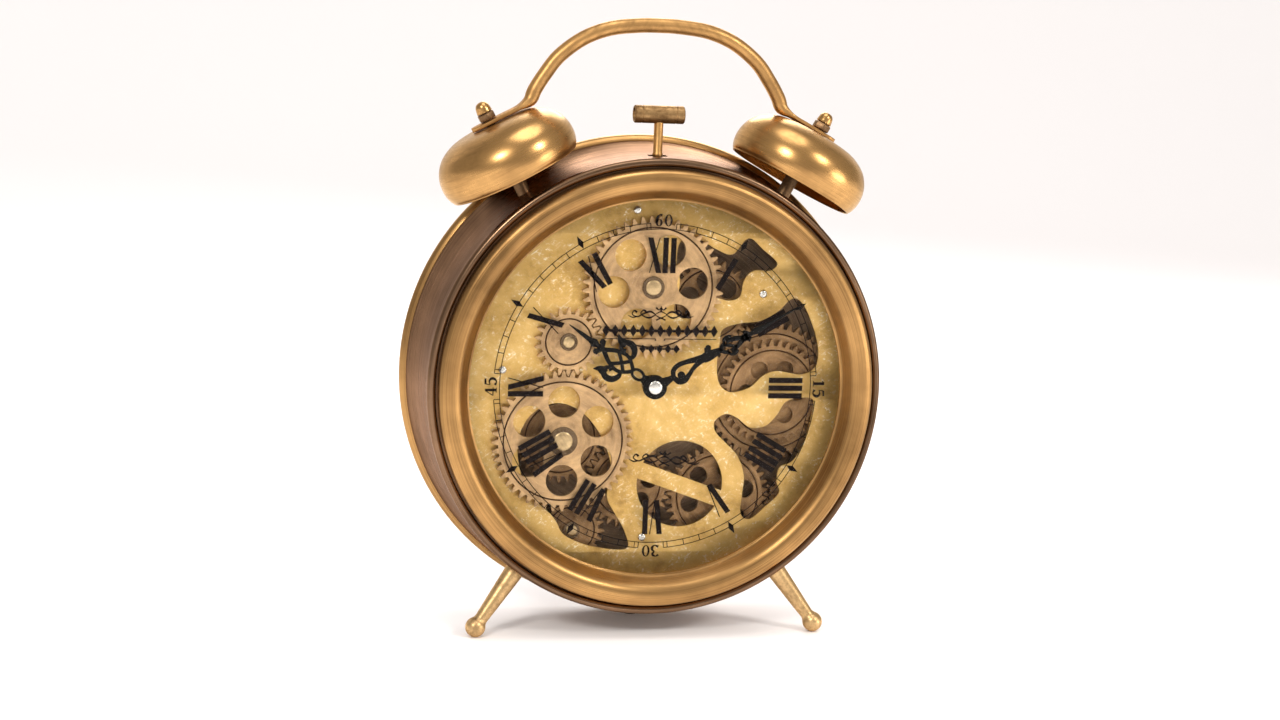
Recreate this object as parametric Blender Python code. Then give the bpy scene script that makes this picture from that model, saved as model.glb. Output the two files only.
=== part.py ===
"""Twin-bell alarm clock with an open gear dial.

World frame: +Z up, the dial faces -Y, the origin is on the floor under the middle of the clock.
Sizes are in millimetres. Depths along the clock's axis are counted from the plane of the case's
front bead, positive towards the back. Heights and sideways places of dial pieces are counted
from the clock's axis.
"""
import math

import bmesh
import bpy
from mathutils import Vector

# ------------------------------------------------------------------ driving dimensions
MM = 0.001
AXIS_HEIGHT = 110.0          # clock axis above the floor
FRONT_BEAD_R = 100.0         # bead round the front of the case
BACK_RIM_R = 107.3           # rolled rim round the back
BACK_RIM_FRONT = 43.4        # where the rolled rim starts
BACK_RIM_BACK = 49.6
BEZEL_CREST = 8.5            # how far the bezel stands in front of the bead plane
OPENING_R = 82.0             # hole of the bezel
WALL = 1.2                   # sheet metal of the case
GAP = 0.3                    # between pieces that touch
RUNNING_GAP = 0.08           # round a turning piece

GLASS_FRONT = 0.3
GLASS_BACK = 2.3
MINUTE_FRONT = 3.4
HOUR_FRONT = 5.0
HAND_THICK = 0.7
NUMERAL_FRONT = 7.0
NUMERAL_BACK = 8.4
FRONT_GEAR_FRONT = 9.4
DIAL_PLATE_FRONT = 12.4
DIAL_PLATE_BACK = 13.4
MIDDLE_GEAR_FRONT = 14.6
REAR_GEAR_FRONT = 17.4
GEAR_THICK = 1.5
REAR_PLATE_FRONT = 24.4
REAR_PLATE_BACK = 25.6
COVER_FRONT = 44.2
COVER_BACK = 45.4

MODULE = 1.25                # of every gear
BACKLASH = 0.34
PRESSURE = math.radians(20.0)

BELL_TILT = math.radians(28.0)
BELL_DEPTH = 23.5            # how far behind the bead plane the bells stand
BELL_CROWN = (72.6, 110.5)   # top of the right bell's crown, sideways and up
BELL_HEIGHT = 23.8
BELL_R = 31.2                # where the cup is widest, a little above its lip
BELL_LIP_R = 28.9
BELL_WALL = 0.9
POST_FOOT = -33.2            # where the post meets the case, measured from the crown
POST_R = 3.0
STUD_R = 1.9
STUD_HOLE_R = 2.3
STUD_TOP = 9.0               # how far a bell stud stands above the crown
NUT_CORNER_R = 4.0
NUT_HEIGHT = 3.0

LEG_FOOT = (75.9, 2.2)       # ball centre, sideways and in depth
LEG_BALL_R = 4.4
LEG_SPLAY = math.radians(36.4)
REAR_FOOT_DEPTH = 38.0
REAR_FOOT_R = 4.0

HAMMER_DEPTH = 18.9
HAMMER_PIVOT = 95.0          # above the clock axis
HAMMER_TOP = 117.4           # middle of the T head

BATTERY_R = 7.0
BATTERY_LENGTH = 48.0

CLOCK_DEPTH = BEZEL_CREST + BELL_DEPTH + BELL_R
BEAD_PLANE_Y = BEZEL_CREST - CLOCK_DEPTH / 2

ROUND_LARGE = 40
ROUND_BELL = 24
ROUND_SMALL = 12
TO_FRONT = (math.radians(90.0), 0.0, 0.0)     # turns local +Z to the viewer's side


# ------------------------------------------------------------------ materials
def make_material(name, color, metallic, roughness, alpha=1.0):
    """A plain Principled material in the piece's own colour."""
    material = bpy.data.materials.new(name)
    material.use_nodes = True
    shader = material.node_tree.nodes["Principled BSDF"]
    shader.inputs["Base Color"].default_value = (*color, 1.0)
    shader.inputs["Metallic"].default_value = metallic
    shader.inputs["Roughness"].default_value = roughness
    shader.inputs["Alpha"].default_value = alpha
    return material


def clear_scene():
    for item in list(bpy.data.objects):
        bpy.data.objects.remove(item, do_unlink=True)


clear_scene()
ANTIQUE_BRASS = make_material("antique_brass", (0.50, 0.30, 0.12), 0.9, 0.38)
DARK_BRONZE = make_material("dark_bronze", (0.16, 0.10, 0.06), 0.8, 0.4)
GOLD_LEAF = make_material("gold_leaf", (0.62, 0.45, 0.18), 0.7, 0.4)
GEAR_BRASS = make_material("gear_brass", (0.50, 0.33, 0.20), 0.8, 0.45)
BLACK_ENAMEL = make_material("black_enamel", (0.012, 0.010, 0.010), 0.2, 0.35)
BRIGHT_STEEL = make_material("bright_steel", (0.72, 0.72, 0.70), 1.0, 0.25)
BLACK_PLASTIC = make_material("black_plastic", (0.02, 0.02, 0.02), 0.0, 0.5)
CELL_JACKET = make_material("cell_jacket", (0.05, 0.16, 0.10), 0.2, 0.4)
CLEAR_GLASS = make_material("clear_glass", (0.95, 0.97, 0.96), 0.0, 0.03, 0.2)


# ------------------------------------------------------------------ mesh helpers
def place(x, depth, height):
    """World place of a point given sideways, in depth and above the clock axis, in millimetres."""
    return Vector((x, depth + BEAD_PLANE_Y, height + AXIS_HEIGHT)) * MM


def add_object(name, bm, material, location, rotation=(0.0, 0.0, 0.0)):
    """Close a bmesh made in millimetres into a named object in metres."""
    bmesh.ops.remove_doubles(bm, verts=bm.verts, dist=1e-4)
    bmesh.ops.recalc_face_normals(bm, faces=bm.faces)
    bmesh.ops.scale(bm, vec=(MM, MM, MM), verts=bm.verts)
    mesh = bpy.data.meshes.new(name)
    bm.to_mesh(mesh)
    bm.free()
    mesh.materials.append(material)
    mesh.shade_smooth()
    mesh.set_sharp_from_angle(angle=math.radians(32.0))
    item = bpy.data.objects.new(name, mesh)
    item.location = location
    item.rotation_euler = rotation
    bpy.context.collection.objects.link(item)
    return item


def turned(name, profile, material, location, rotation=TO_FRONT, steps=ROUND_LARGE):
    """A turned piece: a closed outline of (radius, height) spun once round local Z."""
    bm = bmesh.new()
    verts = [bm.verts.new((radius, 0.0, height)) for radius, height in profile]
    edges = [bm.edges.new((verts[i], verts[(i + 1) % len(verts)])) for i in range(len(verts))]
    on_axis = [edge for edge in edges if all(vert.co.x < 1e-6 for vert in edge.verts)]
    for edge in on_axis:
        edges.remove(edge)
        bm.edges.remove(edge)
    bmesh.ops.spin(bm, geom=edges + verts, axis=(0, 0, 1), cent=(0, 0, 0),
                   angle=math.tau, steps=steps, use_merge=True, use_duplicate=False)
    return add_object(name, bm, material, location, rotation)


def by_depth(points):
    """Turns (radius, depth) points into (radius, height) for a piece that faces the viewer."""
    return [(radius, -depth) for radius, depth in points]


def circle_points(radius, count, center=(0.0, 0.0), start=0.0):
    return [(center[0] + radius * math.cos(start + math.tau * i / count),
             center[1] + radius * math.sin(start + math.tau * i / count)) for i in range(count)]


def flat_piece(name, outline, holes, thickness, material, location, rotation=TO_FRONT):
    """A plate with holes, its back on local z = 0 and its front on z = thickness."""
    bm = bmesh.new()
    edges = []
    for loop in [outline] + holes:
        verts = [bm.verts.new((x, y, 0.0)) for x, y in loop]
        edges += [bm.edges.new((verts[i], verts[(i + 1) % len(verts)])) for i in range(len(verts))]
    bmesh.ops.triangle_fill(bm, edges=edges, use_beauty=True)
    grown = bmesh.ops.extrude_face_region(bm, geom=bm.faces[:])
    top = [item for item in grown["geom"] if isinstance(item, bmesh.types.BMVert)]
    bmesh.ops.translate(bm, vec=(0, 0, thickness), verts=top)
    return add_object(name, bm, material, location, rotation)


def smooth_loop(points, cuts=2):
    """A closed round-cornered outline through hand-placed points (Catmull-Rom)."""
    count = len(points)
    result = []
    for i in range(count):
        before, here, after, beyond = (Vector(points[(i + k) % count]) for k in (-1, 0, 1, 2))
        for cut in range(cuts):
            t = cut / cuts
            spot = 0.5 * (2 * here + (after - before) * t
                          + (2 * before - 5 * here + 4 * after - beyond) * t ** 2
                          + (3 * here - before - 3 * after + beyond) * t ** 3)
            result.append((spot.x, spot.y))
    return result


def cut_with(target, cutters):
    """Take a list of hidden cutter objects away from a piece."""
    for cutter in cutters:
        cutter.hide_render = True
        cutter.display_type = "WIRE"
        cut = target.modifiers.new("cut", "BOOLEAN")
        cut.operation = "DIFFERENCE"
        cut.solver = "EXACT"
        cut.object = cutter


def weld(target, addition):
    """Join a hidden helper shape to a piece, so that both are one solid."""
    addition.hide_render = True
    addition.display_type = "WIRE"
    join = target.modifiers.new("join", "BOOLEAN")
    join.operation = "UNION"
    join.solver = "EXACT"
    join.object = addition


def drill(name, radius, start, end, steps=ROUND_SMALL):
    """A cutting cylinder between two world points in metres."""
    length = (end - start).length / MM
    turn = (end - start).to_track_quat("Z", "Y").to_euler()
    outline = [(0.0, length), (radius, length), (radius, 0.0), (0.0, 0.0)]
    return turned(name, outline, DARK_BRONZE, start, turn, steps)


# ------------------------------------------------------------------ case
def drum_radius(depth):
    """Outer radius of the case between its front bead and its back rim: nearly straight, then flaring."""
    front_depth, front_radius = 3.2, 98.9
    share = (depth - front_depth) / (BACK_RIM_FRONT - front_depth)
    return front_radius + 1.2 * share + 4.5 * share ** 3


DRUM_DEPTHS = (3.2, 10.0, 16.0, 22.0, 27.0, 31.0, 35.0, 39.0, BACK_RIM_FRONT)


def drum_skin(first, last):
    """Points just outside the case's surface between two depths."""
    depths = [first] + [depth for depth in DRUM_DEPTHS if first < depth < last] + [last]
    return [(drum_radius(depth) + GAP, depth) for depth in depths]


def make_drum():
    seat_r = 91.2
    outer = [(seat_r, -1.0), (96.3, -1.0), (96.6, -2.4), (97.6, -3.2), (99.0, -2.9), (FRONT_BEAD_R, -1.4),
             (FRONT_BEAD_R, 0.8), (99.5, 2.4)]
    outer += [(drum_radius(depth), depth) for depth in DRUM_DEPTHS]
    inner = [(drum_radius(depth) - WALL, depth) for depth in DRUM_DEPTHS[:0:-1]]
    inner += [(97.8, 3.6), (97.4, 1.6), (96.6, 0.2), (seat_r, 0.2)]
    return turned("case_drum", by_depth(outer + inner), DARK_BRONZE, place(0, 0, 0))


def make_bezel():
    outer = [(OPENING_R, -0.2), (OPENING_R, -1.4), (84.6, -4.8), (87.2, -7.4), (89.6, -BEZEL_CREST),
             (91.8, -BEZEL_CREST), (94.0, -7.6), (95.2, -6.0), (95.4, -4.0), (95.4, -1.4)]
    inner = [(94.3, -1.4), (94.2, -5.0), (92.8, -6.9), (90.2, -7.3), (87.6, -6.0), (83.2, -0.2)]
    turned("front_bezel", by_depth(outer + inner), ANTIQUE_BRASS, place(0, 0, 0))


def make_back_rim():
    start = BACK_RIM_FRONT + GAP
    outline = [(101.6, start), (104.9, start), (106.7, start + 0.8), (BACK_RIM_R, start + 2.4),
               (BACK_RIM_R, BACK_RIM_BACK - 2.0), (106.3, BACK_RIM_BACK - 0.4), (104.8, BACK_RIM_BACK),
               (103.2, BACK_RIM_BACK - 1.0), (102.6, COVER_BACK + 0.6), (101.6, COVER_BACK + 0.6)]
    turned("back_rim", by_depth(outline), ANTIQUE_BRASS, place(0, 0, 0))


def make_round_panes():
    """Glass, numeral disc and the rings that hold them apart."""
    glass = [(0.0, GLASS_FRONT), (90.6, GLASS_FRONT), (90.6, GLASS_BACK), (0.0, GLASS_BACK)]
    turned("front_glass", by_depth(glass), CLEAR_GLASS, place(0, 0, 0))
    disc = [(BUSH_R + GAP, NUMERAL_FRONT), (90.6, NUMERAL_FRONT), (90.6, NUMERAL_BACK),
            (BUSH_R + GAP, NUMERAL_BACK)]
    turned("numeral_disc", by_depth(disc), CLEAR_GLASS, place(0, 0, 0))
    for name, front, back in (("front_spacer_ring", GLASS_BACK, NUMERAL_FRONT),
                              ("rear_spacer_ring", NUMERAL_BACK, DIAL_PLATE_FRONT)):
        ring = [(86.5, front + GAP), (90.4, front + GAP), (90.4, back - GAP), (86.5, back - GAP)]
        turned(name, by_depth(ring), DARK_BRONZE, place(0, 0, 0))


# Openings of the dial plate, seen from the front, as points on their rounded outlines.
TOP_RIGHT_OPENING = [(41.0, 65.0), (48.0, 60.0), (54.4, 54.4), (51.5, 51.0), (44.0, 50.8), (39.8, 46.5),
                     (38.2, 39.2), (33.0, 37.4), (26.5, 38.5), (21.0, 35.0), (17.5, 30.4), (12.4, 29.4),
                     (8.8, 33.0), (10.4, 40.0), (10.8, 46.5), (9.2, 54.0), (9.8, 61.5), (14.0, 65.5),
                     (20.0, 63.5), (26.5, 60.0), (34.0, 57.8)]
RIGHT_OPENING = [(30.0, 18.0), (31.2, 24.6), (39.0, 27.4), (48.0, 28.6), (56.0, 33.0), (62.0, 38.6),
                 (67.0, 36.5), (72.0, 27.0), (75.0, 17.0), (74.4, 8.5), (68.0, 4.8), (57.0, 6.2),
                 (50.6, 4.2), (44.6, -1.2), (36.0, -3.4), (30.6, 0.6), (29.2, 9.0)]
LOWER_RIGHT_OPENING = [(29.4, -16.4), (34.2, -13.2), (39.6, -15.0), (45.5, -19.2), (52.5, -18.6),
                       (57.6, -13.6), (61.5, -7.6), (68.0, -5.8), (74.0, -6.6), (73.4, -15.0),
                       (70.4, -27.0), (65.8, -34.6), (60.2, -37.2), (59.0, -43.6), (60.4, -49.0),
                       (54.6, -55.0), (47.6, -60.8), (43.2, -58.4), (43.4, -50.0), (43.8, -41.0),
                       (40.6, -32.2), (34.2, -25.6), (29.8, -21.0)]
LOWER_LEFT_OPENING = [(-8.4, -74.0), (-9.4, -66.0), (-14.0, -58.0), (-18.0, -50.0), (-16.4, -38.0),
                      (-21.0, -24.0), (-30.5, -12.5), (-42.0, -8.6), (-53.0, -14.0), (-58.0, -25.0),
                      (-57.0, -38.0), (-52.0, -48.0), (-45.6, -54.6), (-40.4, -61.0), (-36.0, -67.8),
                      (-24.0, -72.6)]
BOTTOM_HOLE = (14.6, -44.6, 19.4)      # centre sideways, centre height, radius
BAR_ENDS = ((-4.0, -38.4), (33.4, -51.6))
BAR_WIDTH = 7.4


def half_round(bar_side):
    """One of the two parts of the bottom hole that the slanting bar leaves open."""
    center = Vector(BOTTOM_HOLE[:2])
    radius = BOTTOM_HOLE[2]
    start, end = Vector(BAR_ENDS[0]), Vector(BAR_ENDS[1])
    along = (end - start).normalized()
    normal = Vector((-along.y, along.x)) * bar_side
    reach = (start - center).dot(normal) + BAR_WIDTH / 2
    half_angle = math.acos(reach / radius)
    middle = math.atan2(normal.y, normal.x)
    count = 16
    angles = [middle - half_angle + 2 * half_angle * i / count for i in range(count + 1)]
    return [(center.x + radius * math.cos(a), center.y + radius * math.sin(a)) for a in angles]


PLATE_R = 96.4
PILLARS = {"upper_left_pillar": (-9.2, 76.4), "upper_right_pillar": (48.6, 40.6),
           "lower_left_pillar": (-66.0, 6.0), "lower_right_pillar": (-1.6, -68.6)}
PILLAR_R = 2.2
SCREW_R = 1.0
BUSH_R = 3.9


def make_plates():
    holes = [smooth_loop(loop) for loop in
             (TOP_RIGHT_OPENING, RIGHT_OPENING, LOWER_RIGHT_OPENING, LOWER_LEFT_OPENING)]
    holes += [half_round(1), half_round(-1)]
    holes.append(circle_points(BUSH_R + GAP, ROUND_SMALL))
    for spot in PILLARS.values():
        holes.append(circle_points(SCREW_R + GAP, 8, spot))
    for arbor in ("top", "idler"):
        holes.append(circle_points(ARBOR_R + GAP, 10, GEAR_PLACES[arbor]))
    flat_piece("dial_plate", circle_points(PLATE_R, ROUND_LARGE), holes,
               DIAL_PLATE_BACK - DIAL_PLATE_FRONT, GOLD_LEAF, place(0, DIAL_PLATE_BACK, 0))
    holes = [circle_points(BUSH_R + GAP, ROUND_SMALL),
             circle_points(ARBOR_R + GAP, 10, GEAR_PLACES["motor"])]
    flat_piece("rear_plate", circle_points(PLATE_R + 0.4, ROUND_LARGE), holes,
               REAR_PLATE_BACK - REAR_PLATE_FRONT, DARK_BRONZE, place(0, REAR_PLATE_BACK, 0))


def make_pillars():
    """Spacing pillars behind the dial plate, each with its dome-headed screw in front."""
    for name, spot in PILLARS.items():
        front = DIAL_PLATE_BACK + GAP
        back = REAR_PLATE_FRONT - GAP
        pillar = [(SCREW_R + GAP, front), (PILLAR_R, front), (PILLAR_R, back), (0.0, back),
                  (0.0, front + 5.0), (SCREW_R + GAP, front + 5.0)]
        turned(name, by_depth(pillar), GEAR_BRASS, place(spot[0], 0, spot[1]), steps=12)
        top = DIAL_PLATE_FRONT - GAP
        screw = [(0.0, top - 1.1), (0.9, top - 0.9), (1.7, top), (SCREW_R, top),
                 (SCREW_R, front + 4.4), (0.0, front + 4.4)]
        turned(name.replace("pillar", "dial_screw"), by_depth(screw), BRIGHT_STEEL,
               place(spot[0], 0, spot[1]), steps=12)


def make_back_cover():
    half = MOVEMENT_HALF + 0.8
    square = [(-half, -half), (half, -half), (half, half), (-half, half)]
    slot = [(MOTOR_PLACE[0] + x, MOTOR_PLACE[1] + z) for x, z in
            ((-SWITCH_SLOT, -3.0), (SWITCH_SLOT, -3.0), (SWITCH_SLOT, 3.0), (-SWITCH_SLOT, 3.0))]
    flat_piece("back_cover", circle_points(101.2, ROUND_LARGE), [square, slot],
               COVER_BACK - COVER_FRONT, DARK_BRONZE, place(0, COVER_BACK, 0))


# ------------------------------------------------------------------ gear train
ARBOR_R = 1.5


def involute(angle):
    return math.tan(angle) - angle


def tooth_half_angle(teeth, radius):
    """Half of the angle that a tooth covers at a radius, from the involute that rolls in mesh."""
    pitch_r = MODULE * teeth / 2
    base_r = pitch_r * math.cos(PRESSURE)
    at_pitch = (math.pi * MODULE / 2 - BACKLASH) / (2 * pitch_r)
    slope = math.acos(min(1.0, base_r / max(radius, base_r)))
    return at_pitch + involute(PRESSURE) - involute(slope)


def gear_outline(teeth, phase):
    pitch_r = MODULE * teeth / 2
    root_r = pitch_r - 1.25 * MODULE
    tip_r = pitch_r + MODULE
    wide = tooth_half_angle(teeth, root_r)
    narrow = tooth_half_angle(teeth, tip_r)
    outline = []
    for index in range(teeth):
        middle = phase + math.tau * index / teeth
        for radius, turn in ((root_r, -wide), (tip_r, -narrow), (tip_r, narrow), (root_r, wide)):
            outline.append((radius * math.cos(middle + turn), radius * math.sin(middle + turn)))
    return outline


def bearing(start, end):
    return math.atan2(end[1] - start[1], end[0] - start[0])


def beside(start, teeth_a, teeth_b, angle):
    """Centre of a gear that meshes with another one, in a direction given in degrees."""
    reach = MODULE * (teeth_a + teeth_b) / 2
    return (start[0] + reach * math.cos(math.radians(angle)),
            start[1] + reach * math.sin(math.radians(angle)))


def meshing_phase(start, end, teeth_a, teeth_b, phase_a):
    """Turns gear b so that one of its gaps faces a tooth of gear a."""
    line = bearing(start, end)
    return line + math.pi - (teeth_a / teeth_b) * (phase_a - line) - math.pi / teeth_b


TEETH = {"right": 48, "right_front": 36, "lower_right": 36, "motor": 12, "top_right": 30, "bottom": 30,
         "bottom_left": 22, "large_rear": 30, "large": 48, "idler": 22, "top": 48}


def gear_places():
    """Centres of the gears, each set off from the one that it meshes with."""
    spots = {"right": (55.4, -3.8)}
    spots["lower_right"] = beside(spots["right"], TEETH["right"], TEETH["lower_right"], 245.0)
    spots["motor"] = beside(spots["lower_right"], TEETH["lower_right"], TEETH["motor"], 0.0)
    spots["top_right"] = beside(spots["right"], TEETH["right"], TEETH["top_right"], 127.0)
    spots["bottom"] = beside(spots["lower_right"], TEETH["lower_right"], TEETH["bottom"], 172.0)
    spots["bottom_left"] = beside(spots["bottom"], TEETH["bottom"], TEETH["bottom_left"], 220.0)
    spots["large"] = beside(spots["bottom"], TEETH["bottom"], TEETH["large_rear"], 146.5)
    spots["idler"] = beside(spots["large"], TEETH["large"], TEETH["idler"], 88.6)
    spots["top"] = beside(spots["idler"], TEETH["idler"], TEETH["top"], 33.6)
    spots["large_rear"] = spots["large"]
    spots["right_front"] = spots["right"]
    return spots


GEAR_PLACES = gear_places()
MESHES = [("right", "lower_right"), ("lower_right", "motor"), ("right", "top_right"),
          ("lower_right", "bottom"), ("bottom", "bottom_left"), ("bottom", "large_rear"),
          ("large", "idler"), ("idler", "top")]


def gear_phases():
    phases = {"right": 0.0, "right_front": 0.05, "large": 0.02}
    for driver, driven in MESHES:
        phases[driven] = meshing_phase(GEAR_PLACES[driver], GEAR_PLACES[driven],
                                       TEETH[driver], TEETH[driven], phases[driver])
    return phases


GEAR_PHASES = gear_phases()


def make_gear(name, key, front, bore_r, hole_r=0.0, hole_ring=0.0, hole_turn=0.0, thick=GEAR_THICK):
    """A flat gear with a bore and six round lightening holes."""
    spot = GEAR_PLACES[key]
    holes = [circle_points(bore_r, ROUND_SMALL)] if bore_r else []
    if hole_r:
        for index in range(6):
            angle = math.radians(hole_turn + 60.0 * index)
            center = (hole_ring * math.cos(angle), hole_ring * math.sin(angle))
            holes.append(circle_points(hole_r, 8, center))
    return flat_piece(name, gear_outline(TEETH[key], GEAR_PHASES[key]), holes, thick, GEAR_BRASS,
                      place(spot[0], front + thick, spot[1]))


def make_stud(name, key, front, back, collars):
    """A fixed or turning arbor: a rod with collars (radius, front, back) that keep gears in place."""
    spot = GEAR_PLACES[key]
    outline = [(0.0, front)]
    for radius, collar_front, collar_back in collars:
        if collar_front > front:
            outline += [(ARBOR_R, outline[-1][1]), (ARBOR_R, collar_front)]
        outline += [(radius, collar_front), (radius, collar_back)]
    if outline[-1][1] < back:
        outline += [(ARBOR_R, outline[-1][1]), (ARBOR_R, back)]
    outline.append((0.0, back))
    turned(name, by_depth(outline), GEAR_BRASS, place(spot[0], 0, spot[1]), steps=ROUND_SMALL)


def make_gears():
    front = FRONT_GEAR_FRONT
    middle = MIDDLE_GEAR_FRONT
    rear = REAR_GEAR_FRONT
    running = ARBOR_R + RUNNING_GAP
    make_gear("top_gear", "top", front, running, 6.8, 17.6, 5.0)
    make_gear("idler_gear", "idler", front, running)
    make_gear("large_gear", "large", front, ARBOR_R + 0.1, 6.9, 17.4, 30.0)
    make_gear("large_rear_gear", "large_rear", rear, ARBOR_R + 0.1)
    make_gear("bottom_gear", "bottom", rear, running, 3.4, 10.4, 10.0)
    make_gear("lower_right_gear", "lower_right", rear, running, 3.6, 12.6, 15.0)
    make_gear("right_wheel", "right", rear, ARBOR_R + 0.1)
    make_gear("right_gear", "right_front", middle, ARBOR_R + 0.1, 3.8, 11.7, 2.0)
    make_gear("top_right_gear", "top_right", rear, running, 4.4, 10.2, 42.0)
    make_gear("bottom_left_gear", "bottom_left", rear, running)
    pinion = make_gear("motor_pinion", "motor", rear, 0.0, thick=2.4)
    shaft = [(0.0, rear + 0.6), (ARBOR_R, rear + 0.6), (ARBOR_R, 33.0), (0.0, 33.0)]
    spot = GEAR_PLACES["motor"]
    weld(pinion, turned("pinion_shaft", by_depth(shaft), GEAR_BRASS, place(spot[0], 0, spot[1]),
                        steps=ROUND_SMALL))


def make_arbors():
    """Studs that the gears turn on. Two of them are turning arbors that carry two gears each."""
    front = FRONT_GEAR_FRONT
    rear = REAR_GEAR_FRONT
    end = REAR_PLATE_FRONT - GAP
    gear_back = front + GEAR_THICK
    make_stud("top_stud", "top", front - 0.6, DIAL_PLATE_BACK + 1.4,
              [(3.6, front - 0.6, front - GAP), (2.6, gear_back + GAP, DIAL_PLATE_FRONT - GAP)])
    make_stud("idler_stud", "idler", front - 0.6, DIAL_PLATE_BACK + 1.4,
              [(2.8, front - 0.6, front - GAP), (2.6, gear_back + GAP, DIAL_PLATE_FRONT - GAP)])
    make_stud("large_arbor", "large", front - 0.6, end,
              [(4.2, front - 0.6, front - GAP), (3.0, gear_back + GAP, rear - GAP)])
    make_stud("right_arbor", "right", MIDDLE_GEAR_FRONT - 0.6, end,
              [(3.4, MIDDLE_GEAR_FRONT - 0.6, MIDDLE_GEAR_FRONT - GAP),
               (3.0, MIDDLE_GEAR_FRONT + GEAR_THICK + GAP, rear - GAP)])
    for name, key in (("bottom_stud", "bottom"), ("lower_right_stud", "lower_right"),
                      ("top_right_stud", "top_right"), ("bottom_left_stud", "bottom_left")):
        make_stud(name, key, rear - 1.0, end,
                  [(2.8, rear - 1.0, rear - GAP), (2.8, rear + GEAR_THICK + GAP, end)])


# ------------------------------------------------------------------ quartz movement and hands
MOVEMENT_HALF = 28.0
MOVEMENT_BACK = 42.6
BAY_DEPTH = 15.2             # battery bay, open at the back
HOUR_PIPE_R = 2.4
MINUTE_ARBOR_R = 1.3
KNOB_R = 6.5


def box_outline(x0, x1, y0, y1):
    return [(x0, y0), (x1, y0), (x1, y1), (x0, y1)]


def block(name, material, x0, x1, depth0, depth1, z0, z1):
    """A plain box between two depths."""
    return flat_piece(name, box_outline(x0, x1, z0, z1), [], depth1 - depth0, material,
                      place(0, depth1, 0))


def make_movement():
    """Movement case with its threaded bush to the front and an open battery bay at the back."""
    case = block("movement_case", BLACK_PLASTIC, -MOVEMENT_HALF, MOVEMENT_HALF,
                 REAR_PLATE_BACK + GAP, MOVEMENT_BACK, -MOVEMENT_HALF, MOVEMENT_HALF)
    bush = turned("bush_shape", by_depth([(0.0, NUMERAL_FRONT - 0.4), (BUSH_R, NUMERAL_FRONT - 0.4),
                                          (BUSH_R, 30.0), (0.0, 30.0)]),
                  BLACK_PLASTIC, place(0, 0, 0), steps=ROUND_SMALL)
    weld(case, bush)
    bore = [(0.0, 4.0), (HOUR_PIPE_R + RUNNING_GAP, 4.0), (HOUR_PIPE_R + RUNNING_GAP, 12.4),
            (MINUTE_ARBOR_R + RUNNING_GAP, 12.4), (MINUTE_ARBOR_R + RUNNING_GAP, 22.0), (0.0, 22.0)]
    bore = turned("hand_bore", by_depth(bore), BLACK_PLASTIC, place(0, 0, 0), steps=ROUND_SMALL)
    bay = block("battery_bay", BLACK_PLASTIC, -25.6, 25.6, MOVEMENT_BACK - BAY_DEPTH, MOVEMENT_BACK + 4,
                -25.4, -10.0)
    knob_bore = drill("knob_bore", 2.0 + RUNNING_GAP, place(0, MOVEMENT_BACK - 6.0, 8.0),
                      place(0, MOVEMENT_BACK + 4.0, 8.0))
    cut_with(case, [bore, bay, knob_bore])
    center_depth = MOVEMENT_BACK - BAY_DEPTH + GAP + BATTERY_R
    turn = Vector((1, 0, 0)).to_track_quat("Z", "Y").to_euler()
    half = BATTERY_LENGTH / 2
    cell = [(0.0, half + 1.2), (2.6, half + 1.2), (2.6, half), (BATTERY_R - 0.5, half),
            (BATTERY_R, half - 0.5), (BATTERY_R, -half), (0.0, -half)]
    turned("battery", cell, CELL_JACKET, place(0, center_depth, -17.7), turn, steps=20)
    knob = [(0.0, 48.4), (KNOB_R - 0.6, 48.4), (KNOB_R, 47.8), (KNOB_R, MOVEMENT_BACK + GAP + 0.4),
            (2.0, MOVEMENT_BACK + GAP + 0.4), (2.0, MOVEMENT_BACK - 5.6), (0.0, MOVEMENT_BACK - 5.6)]
    turned("time_set_knob", by_depth(knob), BLACK_PLASTIC, place(0, 0, 8.0), steps=20)


HAND_HUB_R = 5.0
MINUTE_LENGTH = 69.5
HOUR_LENGTH = 47.0


def hand_outline(length, widths):
    """A hand pointing up: half widths at shares of its length, mirrored, round at the hub."""
    count = 14
    span = math.radians(35.0)
    hub = [(HAND_HUB_R * math.sin(a), -HAND_HUB_R * math.cos(a)) for a in
           [-(math.pi - span) + 2 * (math.pi - span) * i / count for i in range(count + 1)]]
    right = [(half, share * length) for share, half in widths]
    left = [(-half, share * length) for share, half in reversed(widths)]
    return hub + right + [(0.0, length)] + left


def make_hand(name, length, widths, front, bore_r, degrees):
    """A hand turned clockwise from twelve by its place on the dial."""
    turn = math.radians(degrees)
    outline = []
    for x, y in hand_outline(length, widths):
        outline.append((x * math.cos(turn) + y * math.sin(turn), y * math.cos(turn) - x * math.sin(turn)))
    holes = [circle_points(bore_r, ROUND_SMALL)] if bore_r else []
    return flat_piece(name, outline, holes, HAND_THICK, BLACK_ENAMEL, place(0, front + HAND_THICK, 0))


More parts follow.
